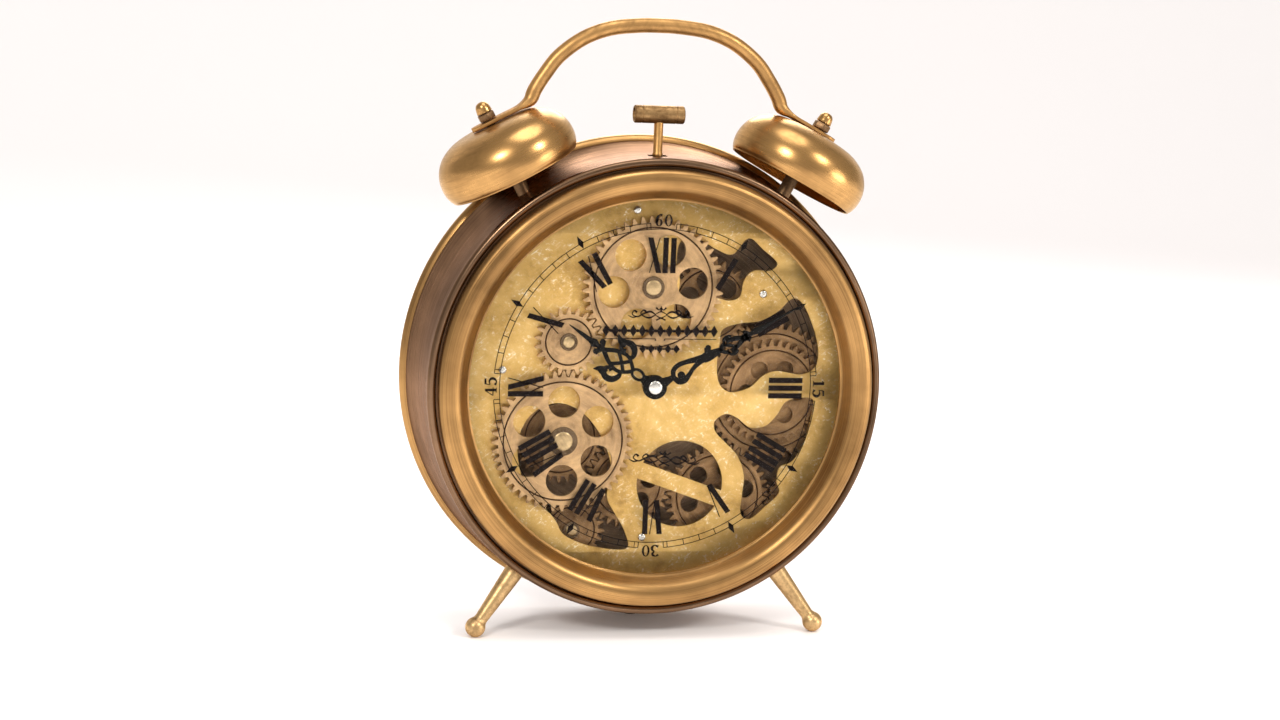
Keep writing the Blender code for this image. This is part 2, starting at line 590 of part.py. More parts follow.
def make_hands():
    minute = make_hand("minute_hand", MINUTE_LENGTH,
                       [(0.10, 1.0), (0.17, 3.6), (0.25, 2.0), (0.33, 2.6), (0.42, 1.6), (0.52, 4.6),
                        (0.60, 1.2), (0.70, 2.2), (0.74, 0.9)], MINUTE_FRONT, 0.0, 60.0)
    arbor = [(0.0, MINUTE_FRONT + 0.1), (MINUTE_ARBOR_R, MINUTE_FRONT + 0.1), (MINUTE_ARBOR_R, 21.6),
             (0.0, 21.6)]
    weld(minute, turned("minute_arbor", by_depth(arbor), BLACK_ENAMEL, place(0, 0, 0), steps=ROUND_SMALL))
    bore = MINUTE_ARBOR_R + RUNNING_GAP
    hour = make_hand("hour_hand", HOUR_LENGTH,
                     [(0.14, 1.0), (0.26, 4.0), (0.34, 2.0), (0.44, 5.6), (0.56, 5.8), (0.68, 2.2),
                      (0.74, 3.0), (0.79, 1.0)], HOUR_FRONT, bore, -55.0)
    pipe = [(bore, HOUR_FRONT + 0.1), (HOUR_PIPE_R, HOUR_FRONT + 0.1), (HOUR_PIPE_R, 12.0), (bore, 12.0)]
    weld(hour, turned("hour_pipe", by_depth(pipe), BLACK_ENAMEL, place(0, 0, 0), steps=ROUND_SMALL))
    top = MINUTE_FRONT - 0.1
    nut = [(0.0, 2.55), (1.4, 2.6), (2.8, 2.9), (3.0, top), (0.0, top)]
    turned("hand_nut", by_depth(nut), BRIGHT_STEEL, place(0, 0, 0), steps=ROUND_SMALL)


# ------------------------------------------------------------------ gear motor
MOTOR_PLACE = GEAR_PLACES["motor"]
MOTOR_HALF = 9.0
MOTOR_BACK = 41.6
SWITCH_SLOT = 7.0


def make_motor():
    """Gear motor behind the rear plate: its shaft carries the pinion, its switch is at the back."""
    x, z = MOTOR_PLACE
    case = block("motor_case", BLACK_PLASTIC, x - MOTOR_HALF, x + MOTOR_HALF, REAR_PLATE_BACK + GAP,
                 MOTOR_BACK, z - MOTOR_HALF, z + MOTOR_HALF)
    shaft_hole = drill("shaft_hole", ARBOR_R + RUNNING_GAP, place(x, 20.0, z), place(x, 34.0, z))
    guide = block("switch_guide", BLACK_PLASTIC, x - 6.6, x + 6.6, MOTOR_BACK - 1.2, MOTOR_BACK + 4.0,
                  z - 2.6, z + 2.6)
    cut_with(case, [shaft_hole, guide])
    block("motor_switch", BRIGHT_STEEL, x - 6.2, x - 2.2, MOTOR_BACK - 0.9, COVER_BACK + 1.6,
          z - 2.3, z + 2.3)


# ------------------------------------------------------------------ bells, handle and hammer
def bell_frame(side):
    """Crown centre, axis and outward direction along the crown, as (sideways, up) vectors."""
    crown = Vector((side * BELL_CROWN[0], BELL_CROWN[1]))
    axis = Vector((side * math.sin(BELL_TILT), math.cos(BELL_TILT)))
    outward = Vector((side * math.cos(BELL_TILT), -math.sin(BELL_TILT)))
    return crown, axis, outward


def bell_profile():
    """Closed outline of the shell from its rim over the crown and back along the inside."""
    outer = [(BELL_LIP_R, 0.0), (30.1, 1.2), (31.0, 4.0), (BELL_R, 7.4), (30.6, 11.4), (28.9, 15.4),
             (25.4, 19.4), (19.7, 22.4), (12.0, BELL_HEIGHT)]
    inner = [(11.8, BELL_HEIGHT - BELL_WALL), (19.4, 21.5), (24.7, 18.8), (28.0, 15.0), (29.7, 11.2),
             (30.3, 7.4), (30.1, 4.2), (29.3, 1.8), (BELL_LIP_R - 0.9, 0.2)]
    return outer + [(STUD_HOLE_R, BELL_HEIGHT), (STUD_HOLE_R, BELL_HEIGHT - BELL_WALL)] + inner


def make_bell(prefix, side):
    crown, axis, _ = bell_frame(side)
    turn = (0.0, side * BELL_TILT, 0.0)

    def along(height):
        """World place on the bell's axis, measured up from the crown."""
        spot = crown + axis * height
        return place(spot.x, BELL_DEPTH, spot.y)

    turned(prefix + "_bell", bell_profile(), ANTIQUE_BRASS, along(-BELL_HEIGHT), turn, ROUND_BELL)
    shoulder = -BELL_WALL - GAP
    end = POST_FOOT - 1.4
    post = [(0.0, STUD_TOP), (STUD_R, STUD_TOP), (STUD_R, shoulder), (POST_R, shoulder),
            (POST_R, POST_FOOT), (STUD_R, POST_FOOT), (STUD_R, end), (0.0, end)]
    post_item = turned(prefix + "_bell_post", post, DARK_BRONZE, along(0.0), turn, ROUND_SMALL)
    skin = turned("case_surface_" + prefix,
                  by_depth([(0.0, -6.0), (90.0, -6.0)] + drum_skin(6.0, 42.0) + [(0.0, 42.0)]),
                  DARK_BRONZE, place(0, 0, 0))
    neck = turned("stud_keep_" + prefix, [(STUD_R, 0.0), (20.0, 0.0), (20.0, -30.0), (STUD_R, -30.0)],
                  DARK_BRONZE, along(POST_FOOT + 7.0), turn, ROUND_SMALL)
    cut_common(post_item, skin, neck)
    strap_top = GAP + STRAP_THICK
    lock_front = strap_top + GAP
    flat_piece(prefix + "_lock_nut", circle_points(NUT_CORNER_R, 6),
               [circle_points(STUD_R + RUNNING_GAP, ROUND_SMALL)], NUT_HEIGHT, DARK_BRONZE,
               along(lock_front), turn)
    dome_base = lock_front + NUT_HEIGHT + GAP
    inside = STUD_TOP + GAP
    dome = [(STUD_R + RUNNING_GAP, dome_base), (3.2, dome_base), (3.2, dome_base + 1.6),
            (2.8, dome_base + 3.2), (1.6, dome_base + 4.4), (0.0, dome_base + 4.8),
            (0.0, inside), (STUD_R + RUNNING_GAP, inside)]
    turned(prefix + "_dome_nut", dome, ANTIQUE_BRASS, along(0.0), turn, 12)


def cut_common(target, skin, neck):
    """Trim the lower end of a post to the curved case, leaving only its stud inside."""
    neck_cut = neck.modifiers.new("inside", "BOOLEAN")
    neck_cut.operation = "INTERSECT"
    neck_cut.solver = "EXACT"
    neck_cut.object = skin
    skin.hide_render = True
    skin.display_type = "WIRE"
    cut_with(target, [neck])


STRAP_THICK = 2.0
STRAP_HALF_WIDTH = 4.6
STRAP_END = 8.3              # beyond the bell's axis
STRAP_START = -13.0          # where the strap starts to close into the tube
TUBE_R = 3.15
ARCH = [(56.2, 121.4), (54.0, 126.2), (50.0, 132.8), (43.7, 141.1), (33.4, 148.9), (22.0, 153.4),
        (9.5, 155.1)]
ARCH_TOP = 155.4


def handle_path():
    """Middle line of the handle from the left strap over the top to the right strap."""
    crown, axis, outward = bell_frame(1)
    level = GAP + STRAP_THICK / 2
    strap = [crown + axis * level + outward * reach for reach in (STRAP_END, 4.0, -2.0, -8.0, STRAP_START)]
    half = [(spot.x, spot.y) for spot in strap] + ARCH
    left = [(-x, z) for x, z in half]
    return left + [(0.0, ARCH_TOP)] + half[::-1]


def open_curve(points, cuts):
    """A smooth curve through points, the same rule as the closed outlines use."""
    padded = [points[0]] + list(points) + [points[-1]]
    result = []
    for i in range(len(points) - 1):
        before, here, after, beyond = (Vector(padded[i + k]) for k in range(4))
        for cut in range(cuts):
            t = cut / cuts
            result.append(0.5 * (2 * here + (after - before) * t
                                 + (2 * before - 5 * here + 4 * after - beyond) * t ** 2
                                 + (3 * here - before - 3 * after + beyond) * t ** 3))
    result.append(Vector(points[-1]))
    return result


def make_handle():
    """A tube with both ends pressed flat, rounded and drilled for the bell studs."""
    path = open_curve(handle_path(), 2)
    crown, _, outward = bell_frame(1)
    sides = 8
    bm = bmesh.new()
    rings = []
    for index, spot in enumerate(path):
        ahead = path[min(index + 1, len(path) - 1)] - path[max(index - 1, 0)]
        normal = Vector((-ahead.y, ahead.x)).normalized()
        reach = (Vector((abs(spot.x), spot.y)) - crown).dot(outward)
        flat = min(1.0, max(0.0, (reach - STRAP_START + 9.0) / 9.0))
        half_thick = TUBE_R + (STRAP_THICK / 2 - TUBE_R) * flat
        half_wide = TUBE_R + (STRAP_HALF_WIDTH - TUBE_R) * flat
        to_end = STRAP_END - reach
        if to_end < STRAP_HALF_WIDTH:
            half_wide *= math.sqrt(max(0.16, 1.0 - (1.0 - to_end / STRAP_HALF_WIDTH) ** 2))
        power = 1.0 - 0.6 * flat
        ring = []
        for k in range(sides):
            angle = math.tau * (k + 0.5) / sides
            across, deep = math.cos(angle), math.sin(angle)
            across = math.copysign(abs(across) ** power, across) * half_thick
            deep = math.copysign(abs(deep) ** power, deep) * half_wide
            ring.append(bm.verts.new((spot.x + normal.x * across, deep, spot.y + normal.y * across)))
        rings.append(ring)
    for ring, following in zip(rings, rings[1:]):
        for k in range(sides):
            bm.faces.new((ring[k], ring[(k + 1) % sides], following[(k + 1) % sides], following[k]))
    bm.faces.new(rings[0])
    bm.faces.new(rings[-1][::-1])
    handle = add_object("carry_handle", bm, ANTIQUE_BRASS, place(0, BELL_DEPTH, 0))
    holes = []
    for side in (-1, 1):
        crown, axis, _ = bell_frame(side)
        low, high = crown - axis * 3.0, crown + axis * 8.0
        holes.append(drill("strap_hole", STUD_HOLE_R, place(low.x, BELL_DEPTH, low.y),
                           place(high.x, BELL_DEPTH, high.y)))
    cut_with(handle, holes)


HAMMER_HEAD_R = 3.85
HAMMER_HEAD_HALF = 11.0
HAMMER_ROD_R = 2.0
HAMMER_PIN_R = 1.3
HAMMER_SLOT = (8.4, 4.6)
BRACKET_HALF_DEPTH = 4.9


def make_hammer():
    """Rod with a cross pin just inside the case, and a T-shaped head on its top."""
    head_turn = Vector((1, 0, 0)).to_track_quat("Z", "Y").to_euler()
    edge = 0.5
    head = [(0.0, HAMMER_HEAD_HALF), (HAMMER_HEAD_R - edge, HAMMER_HEAD_HALF),
            (HAMMER_HEAD_R, HAMMER_HEAD_HALF - edge), (HAMMER_HEAD_R, -HAMMER_HEAD_HALF + edge),
            (HAMMER_HEAD_R - edge, -HAMMER_HEAD_HALF), (0.0, -HAMMER_HEAD_HALF)]
    head_item = turned("hammer_head", head, ANTIQUE_BRASS, place(0, HAMMER_DEPTH, HAMMER_TOP),
                       head_turn, ROUND_SMALL)
    socket = drill("head_socket", HAMMER_ROD_R + 0.1, place(0, HAMMER_DEPTH, HAMMER_TOP - 8.0),
                   place(0, HAMMER_DEPTH, HAMMER_TOP + 1.0))
    cut_with(head_item, [socket])
    below = HAMMER_PIVOT - 2.8
    rod = [(0.0, HAMMER_TOP + 0.7 - HAMMER_PIVOT), (HAMMER_ROD_R, HAMMER_TOP + 0.7 - HAMMER_PIVOT),
           (HAMMER_ROD_R, below - HAMMER_PIVOT), (0.0, below - HAMMER_PIVOT)]
    rod_item = turned("hammer_rod", rod, ANTIQUE_BRASS, place(0, HAMMER_DEPTH, HAMMER_PIVOT),
                      (0.0, 0.0, 0.0), ROUND_SMALL)
    turn = Vector((0, 1, 0)).to_track_quat("Z", "Y").to_euler()
    pin = [(0.0, 4.7), (HAMMER_PIN_R, 4.7), (HAMMER_PIN_R, -4.7), (0.0, -4.7)]
    weld(rod_item, turned("hammer_pin", pin, BRIGHT_STEEL, place(0, HAMMER_DEPTH, HAMMER_PIVOT), turn,
                          ROUND_SMALL))
    slot_x, slot_y = HAMMER_SLOT
    plate_top = drum_radius(HAMMER_DEPTH - BRACKET_HALF_DEPTH) - WALL - 0.7
    bracket = flat_piece("hammer_bracket",
                         box_outline(-8.0, 8.0, -BRACKET_HALF_DEPTH, BRACKET_HALF_DEPTH), [], 10.0,
                         DARK_BRONZE, place(0, HAMMER_DEPTH, plate_top - 10.0), (0.0, 0.0, 0.0))
    tunnel = flat_piece("rod_tunnel", box_outline(-slot_x / 2, slot_x / 2, -slot_y / 2, slot_y / 2), [],
                        24.0, DARK_BRONZE, place(0, HAMMER_DEPTH, plate_top - 18.0), (0.0, 0.0, 0.0))
    pin_hole = drill("pin_hole", HAMMER_PIN_R + RUNNING_GAP, place(0, HAMMER_DEPTH - 12, HAMMER_PIVOT),
                     place(0, HAMMER_DEPTH + 12, HAMMER_PIVOT))
    cut_with(bracket, [tunnel, pin_hole])


# ------------------------------------------------------------------ feet
def make_leg(prefix, side):
    """A tapered leg that widens from its ball foot to the case, with a stud through the case wall."""
    ball = Vector((side * LEG_FOOT[0], LEG_FOOT[1] + BEAD_PLANE_Y, LEG_BALL_R)) * MM
    root_depth = 8.2
    axis = Vector((-side * math.sin(LEG_SPLAY), 0.0, math.cos(LEG_SPLAY)))
    reach = 30.0
    axis = (axis * reach + Vector((0.0, root_depth - LEG_FOOT[1], 0.0))).normalized()
    steps = 7
    ball_arc = [(LEG_BALL_R * math.sin(math.radians(a)), -LEG_BALL_R * math.cos(math.radians(a)))
                for a in [i * 138.0 / steps for i in range(steps + 1)]]
    outline = ball_arc + [(3.0, 4.6), (4.5, 33.0), (STUD_R, 33.0), (STUD_R, 35.4), (0.0, 35.4)]
    turn = axis.to_track_quat("Z", "Y").to_euler()
    leg = turned(prefix + "_leg", outline, ANTIQUE_BRASS, ball, turn, ROUND_SMALL)
    skin = turned("leg_trim_" + prefix,
                  by_depth([(0.0, -8.0), (FRONT_BEAD_R + GAP, -8.0), (FRONT_BEAD_R + GAP, 2.9)]
                           + drum_skin(3.4, 30.0) + [(0.0, 30.0)]),
                  DARK_BRONZE, place(0, 0, 0))
    sleeve = turned("stud_sleeve_" + prefix, [(STUD_R, 24.0), (20.0, 24.0), (20.0, 45.0), (STUD_R, 45.0)],
                    DARK_BRONZE, ball, turn, ROUND_SMALL)
    trim = sleeve.modifiers.new("inside", "BOOLEAN")
    trim.operation = "INTERSECT"
    trim.solver = "EXACT"
    trim.object = skin
    skin.hide_render = True
    skin.display_type = "WIRE"
    cut_with(leg, [sleeve])
    return drill("leg_hole_" + prefix, STUD_HOLE_R, ball + axis * 24.0 * MM, ball + axis * 45.0 * MM)


def make_rear_foot():
    """A short peg under the back of the case; its stud goes up through the case wall."""
    top = AXIS_HEIGHT - drum_radius(REAR_FOOT_DEPTH + REAR_FOOT_R) - GAP
    peg = [(0.0, 0.0), (REAR_FOOT_R - 0.4, 0.0), (REAR_FOOT_R, 0.6), (REAR_FOOT_R, top), (STUD_R, top),
           (STUD_R, top + 5.0), (0.0, top + 5.0)]
    turned("rear_foot", peg, BLACK_PLASTIC, place(0, REAR_FOOT_DEPTH, -AXIS_HEIGHT), (0.0, 0.0, 0.0),
           ROUND_SMALL)
    return drill("rear_foot_hole", STUD_HOLE_R, place(0, REAR_FOOT_DEPTH, -AXIS_HEIGHT + top - 0.5),
                 place(0, REAR_FOOT_DEPTH, -AXIS_HEIGHT + top + 8.0))


def bell_stud_hole(side):
    crown, axis, _ = bell_frame(side)
    high, low = crown - axis * 24.0, crown - axis * 42.0
    return drill("bell_stud_hole", STUD_HOLE_R, place(high.x, BELL_DEPTH, high.y),
                 place(low.x, BELL_DEPTH, low.y))


# ------------------------------------------------------------------ assembly
def build_clock():
    drum = make_drum()
    make_bezel()
    make_back_rim()
    make_round_panes()
    make_plates()
    make_pillars()
    make_back_cover()
    make_gears()
    make_arbors()
    make_movement()
    make_hands()
    make_motor()
    make_handle()
    make_hammer()
    slot_x, slot_y = HAMMER_SLOT
    slot = flat_piece("hammer_slot", box_outline(-slot_x / 2, slot_x / 2, -slot_y / 2, slot_y / 2), [],
                      20.0, DARK_BRONZE, place(0, HAMMER_DEPTH, 92.0), (0.0, 0.0, 0.0))
    holes = [slot, make_rear_foot()]
    for prefix, side in (("left", -1), ("right", 1)):
        make_bell(prefix, side)
        holes.append(make_leg(prefix, side))
        holes.append(bell_stud_hole(side))
    cut_with(drum, holes)


build_clock()
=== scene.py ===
# %% [markdown]
# # A twin-bell alarm clock with an open gear dial
# The working parts come from a fixed frame: every gear, arbor, screw and joint already stands in its place.
# This script dresses that frame. It turns the round brass pieces finely, cuts the gears and hands with
# crisp edges, prints the dial, and mixes the metals. Nothing here moves a part of the frame.

# %% Load the frame
import math

import bpy
from mathutils import Matrix, Vector


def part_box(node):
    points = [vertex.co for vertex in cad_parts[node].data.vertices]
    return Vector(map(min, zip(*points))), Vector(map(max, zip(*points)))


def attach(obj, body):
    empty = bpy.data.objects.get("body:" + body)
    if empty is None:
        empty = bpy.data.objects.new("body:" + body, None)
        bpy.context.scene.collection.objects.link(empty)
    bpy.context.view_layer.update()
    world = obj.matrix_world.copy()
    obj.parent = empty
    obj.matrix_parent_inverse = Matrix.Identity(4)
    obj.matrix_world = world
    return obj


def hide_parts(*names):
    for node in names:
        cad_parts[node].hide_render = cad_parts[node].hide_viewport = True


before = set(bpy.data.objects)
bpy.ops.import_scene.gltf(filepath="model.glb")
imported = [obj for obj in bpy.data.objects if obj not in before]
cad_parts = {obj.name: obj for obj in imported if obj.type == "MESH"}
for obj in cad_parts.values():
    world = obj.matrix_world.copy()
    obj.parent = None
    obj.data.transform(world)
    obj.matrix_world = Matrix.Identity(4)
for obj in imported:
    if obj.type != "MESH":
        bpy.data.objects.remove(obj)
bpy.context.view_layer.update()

# %% [markdown]
# All places on the clock are given from one point: where the clock's axis meets the plane of the case's
# front bead. Sideways and up are counted from the axis and depth runs from the bead towards the back.
# The numbers are millimetres, as on a workshop drawing. The point itself is read from the frame's bezel.

# %% Places on the clock
MM = 0.001
BEZEL_CREST = 8.5            # how far the bezel stands in front of the bead
bezel_low, bezel_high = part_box("front_bezel")
BEAD_CENTRE = Vector((0.0, bezel_low.y + BEZEL_CREST * MM, (bezel_low.z + bezel_high.z) / 2))


def at(x, depth, height):
    """A point of the clock in metres, from millimetres sideways, in depth and above the axis."""
    return BEAD_CENTRE + Vector((x, depth, height)) * MM


def front_of(node):
    """Depth of a node's front face, in millimetres behind the bead."""
    return (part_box(node)[0].y - BEAD_CENTRE.y) / MM


def middle_of(node):
    """Sideways and up place of a node's middle, in millimetres from the axis."""
    low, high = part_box(node)
    middle = ((low + high) / 2 - BEAD_CENTRE) / MM
    return middle.x, middle.z


print("bead plane at y", round(BEAD_CENTRE.y, 4), "axis height", round(BEAD_CENTRE.z, 4))

# %% [markdown]
# The camera stands a little to the left of the dial and above it, nearly a metre away, with a long lens
# and a slight roll. A long lens keeps the round case from looking stretched.

# %% Camera
CAMERA_YAW = math.radians(-11.82)
CAMERA_RISE = math.radians(8.75)
CAMERA_ROLL = math.radians(2.29)
CAMERA_REACH = 0.94894
CAMERA_LENS = 61.875
CAMERA_AIM = (-8.07, 0.0, 12.66)  # sideways, depth and height of the point that it looks at

camera_data = bpy.data.cameras.new("dial_camera")
camera_data.lens = CAMERA_LENS
camera_data.clip_end = 50.0
camera = bpy.data.objects.new("dial_camera", camera_data)
bpy.context.scene.collection.objects.link(camera)
bpy.context.scene.camera = camera
back = Vector((math.sin(CAMERA_YAW) * math.cos(CAMERA_RISE), -math.cos(CAMERA_YAW) * math.cos(CAMERA_RISE),
               math.sin(CAMERA_RISE)))
level = (-back).cross(Vector((0, 0, 1))).normalized()
upright = level.cross(-back)
right = level * math.cos(CAMERA_ROLL) + upright * math.sin(CAMERA_ROLL)
above = upright * math.cos(CAMERA_ROLL) - level * math.sin(CAMERA_ROLL)
spot = at(*CAMERA_AIM) + back * CAMERA_REACH
camera.matrix_world = Matrix.Translation(spot) @ Matrix((right, above, back)).transposed().to_4x4()
print("camera at", [round(value, 3) for value in camera.matrix_world.translation])

# %% [markdown]
# Polished brass shows its surroundings more than its own colour, so the studio is part of the finish.
# The floor sweeps up behind the clock in one white cove: a plane whose rear edge is pulled up, with the
# fold between the two rounded off.

# %% Studio cove
def start_fresh():
    """Leaves edit mode and deselects everything, because an operator acts on all that is selected."""
    if bpy.context.object and bpy.context.object.mode != "OBJECT":
        bpy.ops.object.mode_set(mode="OBJECT")
    for item in list(bpy.context.selected_objects):
        item.select_set(False)


start_fresh()
bpy.context.scene.view_settings.view_transform = "Standard"
COVE_SIDE = 8.0              # metres, as everything in the studio
COVE_SHIFT = -1.0            # how far the floor's middle lies in front of the clock
COVE_WALL = 4.0
COVE_SWEEP = 1.6
bpy.ops.mesh.primitive_plane_add(size=COVE_SIDE, location=(0.0, COVE_SHIFT, 0.0))
cove = bpy.context.object
cove.name = "studio_cove"
bpy.ops.object.transform_apply(location=True, rotation=True, scale=True)
for edge in cove.data.edges:
    edge.select = all(cove.data.vertices[i].co.y > 0 for i in edge.vertices)
for vert in cove.data.vertices:
    vert.select = vert.co.y > 0
for face in cove.data.polygons:
    face.select = False
bpy.ops.object.mode_set(mode="EDIT")
bpy.ops.mesh.select_mode(type="EDGE")
bpy.ops.mesh.extrude_edges_move(TRANSFORM_OT_translate={"value": (0.0, 0.0, COVE_WALL)})
bpy.ops.object.mode_set(mode="OBJECT")
bend = cove.modifiers.new("sweep", "BEVEL")
bend.width = COVE_SWEEP
bend.segments = 24
bend.angle_limit = math.radians(40)
bpy.ops.object.modifier_apply(modifier="sweep")
bpy.ops.object.shade_smooth()
print("cove:", len(cove.data.polygons), "faces")

# %% [markdown]
# Shaders and the world are small graphs of nodes. Three helpers keep them short: one makes a node with
# its settings, one ties outputs to inputs, and one starts a material.

# %% Node helpers
def node(nodes, kind, **settings):
    """A new node with its sockets or properties set; an underscore stands for a space in a socket's name."""
    made = nodes.new(kind)
    for key, value in settings.items():
        socket = key.replace("_", " ")
        if socket in made.inputs:
            made.inputs[socket].default_value = value
        else:
            setattr(made, key, value)
    return made


def wire(links, *ties):
    """Links sockets; each tie is a node and its output, then a node and its input."""
    for source, output, target, socket in ties:
        links.new(source.outputs[output], target.inputs[socket])


def new_finish(name, **settings):
    """A new material: itself, its nodes, links and shader, and a node with the piece's own coordinates."""
    material = bpy.data.materials.new(name)
    material.use_nodes = True
    nodes, links = material.node_tree.nodes, material.node_tree.links
    shader = nodes["Principled BSDF"]
    for key, value in settings.items():
        shader.inputs[key.replace("_", " ")].default_value = value
    return material, nodes, links, shader, node(nodes, "ShaderNodeTexCoord")


print("node helpers ready")

# %% [markdown]
# Two soft round lamps stand in front, to the left and the right, and one low at the right side. Their
# reflections are what makes the bells look domed. One more hangs above and one stands behind. The world
# is white for the camera and bright for the floor, but dimmer where the metal mirrors it, so the metal
# keeps its dark side.

# %% Lamps and world
def lamp(name, place, aim, size, power, colour=(1.0, 1.0, 1.0)):
    """A round soft lamp that looks at a point of the clock."""
    data = bpy.data.lights.new(name, "AREA")
    data.shape = "DISK"
    data.size = size
    data.energy = power
    data.color = colour
    item = bpy.data.objects.new(name, data)
    item.location = place
    item.rotation_euler = (aim - Vector(place)).to_track_quat("-Z", "Y").to_euler()
    bpy.context.scene.collection.objects.link(item)


clock_middle = at(0.0, 10.0, 20.0)
lamp("left_lamp", (-0.75, -1.05, 0.95), clock_middle, 0.32, 9.0, (1.0, 0.97, 0.92))
lamp("right_lamp", (0.85, -0.95, 1.0), clock_middle, 0.30, 7.0, (1.0, 0.97, 0.92))
lamp("low_side_lamp", (1.25, -0.75, 0.12), clock_middle, 0.7, 6.0, (1.0, 0.96, 0.90))
lamp("overhead_lamp", (0.05, -0.2, 1.5), clock_middle, 0.9, 7.0)
lamp("rear_lamp", (0.3, 1.2, 0.9), clock_middle, 0.8, 8.0)

world = bpy.data.worlds.new("studio_world")
bpy.context.scene.world = world
world.use_nodes = True
nodes, links = world.node_tree.nodes, world.node_tree.links
nodes.clear()
seen = node(nodes, "ShaderNodeBackground", Color=(1.0, 0.998, 0.985, 1.0), Strength=1.0)
felt = node(nodes, "ShaderNodeBackground", Color=(1.0, 0.98, 0.96, 1.0), Strength=0.95)
mirrored_world = node(nodes, "ShaderNodeBackground", Color=(1.0, 0.95, 0.90, 1.0), Strength=0.46)
path = node(nodes, "ShaderNodeLightPath")
in_metal = node(nodes, "ShaderNodeMixShader")
chosen = node(nodes, "ShaderNodeMixShader")
out = node(nodes, "ShaderNodeOutputWorld")
wire(links, (path, "Is Glossy Ray", in_metal, 0), (felt, 0, in_metal, 1), (mirrored_world, 0, in_metal, 2),
     (path, "Is Camera Ray", chosen, 0), (in_metal, 0, chosen, 1), (seen, 0, chosen, 2),
     (chosen, 0, out, 0))
print("lamps:", len(bpy.data.lights))

# %% [markdown]
# ## Mixing the finishes
# Each finish is one shader built from a few shared effects. The first effect is the mark of the lathe
# and the wire brush: fine streaks that run round a piece's own axis. A noise does it if it changes
# quickly along the axis and outwards, and slowly round it. The direction from the axis is used in
# place of the angle, so the pattern has no seam.

# %% Shared effect: brush marks round an axis
def effect(name, inputs, outputs):
    """An empty node group with named sockets, and its two end nodes."""
    group = bpy.data.node_groups.new(name, "ShaderNodeTree")
    for socket, kind, value in inputs:
        made = group.interface.new_socket(socket, in_out="INPUT", socket_type=kind)
        if value is not None:
            made.default_value = value
    for socket, kind in outputs:
        group.interface.new_socket(socket, in_out="OUTPUT", socket_type=kind)
    return group, group.nodes.new("NodeGroupInput"), group.nodes.new("NodeGroupOutput")


FLOAT = "NodeSocketFloat"
COLOUR = "NodeSocketColor"
VECTOR = "NodeSocketVector"

brush_marks, group_in, group_out = effect(
    "brush marks round an axis",
    [("Place", VECTOR, None), ("Fineness", FLOAT, 900.0), ("Length", FLOAT, 3.0)], [("Mark", FLOAT)])
nodes, links = brush_marks.nodes, brush_marks.links
split = node(nodes, "ShaderNodeSeparateXYZ")
flat = node(nodes, "ShaderNodeCombineXYZ")
reach = node(nodes, "ShaderNodeVectorMath", operation="LENGTH")
facing = node(nodes, "ShaderNodeVectorMath", operation="NORMALIZE")
longer = node(nodes, "ShaderNodeVectorMath", operation="SCALE")
slant = node(nodes, "ShaderNodeMath", operation="MULTIPLY_ADD")
slant.inputs[1].default_value = 1.37
fine = node(nodes, "ShaderNodeMath", operation="MULTIPLY")
raised = node(nodes, "ShaderNodeCombineXYZ")
spot = node(nodes, "ShaderNodeVectorMath", operation="ADD")
streak = node(nodes, "ShaderNodeTexNoise", Scale=1.0, Detail=4.0, Roughness=0.6)
wire(links, (group_in, "Place", split, 0), (split, "X", flat, "X"), (split, "Y", flat, "Y"),
     (flat, 0, reach, 0), (flat, 0, facing, 0), (facing, 0, longer, 0),
     (group_in, "Length", longer, "Scale"), (reach, "Value", slant, 0), (split, "Z", slant, 2),
     (slant, 0, fine, 0), (group_in, "Fineness", fine, 1), (fine, 0, raised, "Z"), (longer, 0, spot, 0),
     (raised, 0, spot, 1), (spot, 0, streak, "Vector"), (streak, "Fac", group_out, "Mark"))
print("effect:", brush_marks.name)

# %% [markdown]
# The second effect is age. Antique brass is brass under a brown wash that was wiped off again: it stays
# in cloudy patches and in corners. A coarse and a fine noise make the clouds, and how sharply the surface
# bends (its pointiness) darkens the grooves.

# %% Shared effect: wiped brown wash
wash, group_in, group_out = effect(
    "wiped brown wash",
    [("Place", VECTOR, None), ("Mark", FLOAT, 0.5), ("Metal", COLOUR, (0.5, 0.3, 0.1, 1)),
     ("Wash", COLOUR, (0.1, 0.06, 0.03, 1)), ("Amount", FLOAT, 0.35), ("Corner", FLOAT, 0.6),
     ("Cloud Size", FLOAT, 60.0), ("Polish", FLOAT, 0.3)],
    [("Colour", COLOUR), ("Roughness", FLOAT), ("Height", FLOAT)])
nodes, links = wash.nodes, wash.links
cloud = node(nodes, "ShaderNodeTexNoise", Detail=5.0, Roughness=0.62)
grain = node(nodes, "ShaderNodeTexNoise", Scale=900.0, Detail=2.0)
bend = node(nodes, "ShaderNodeNewGeometry")
groove = node(nodes, "ShaderNodeMapRange", From_Min=0.5, From_Max=0.42)
in_groove = node(nodes, "ShaderNodeMath", operation="MULTIPLY")
cloudy = node(nodes, "ShaderNodeMapRange", From_Min=0.36, From_Max=0.74)
streaky = node(nodes, "ShaderNodeMapRange", From_Min=0.34, From_Max=0.72)
both = node(nodes, "ShaderNodeMath", operation="MULTIPLY_ADD")
both.inputs[1].default_value = 0.65
shared = node(nodes, "ShaderNodeMath", operation="MULTIPLY")
summed = node(nodes, "ShaderNodeMath", operation="ADD", use_clamp=True)
colour = node(nodes, "ShaderNodeMix", data_type="RGBA")
rough = node(nodes, "ShaderNodeMath", operation="MULTIPLY_ADD")
rough.inputs[1].default_value = 0.24
height = node(nodes, "ShaderNodeMath", operation="MULTIPLY_ADD")
height.inputs[1].default_value = 0.25
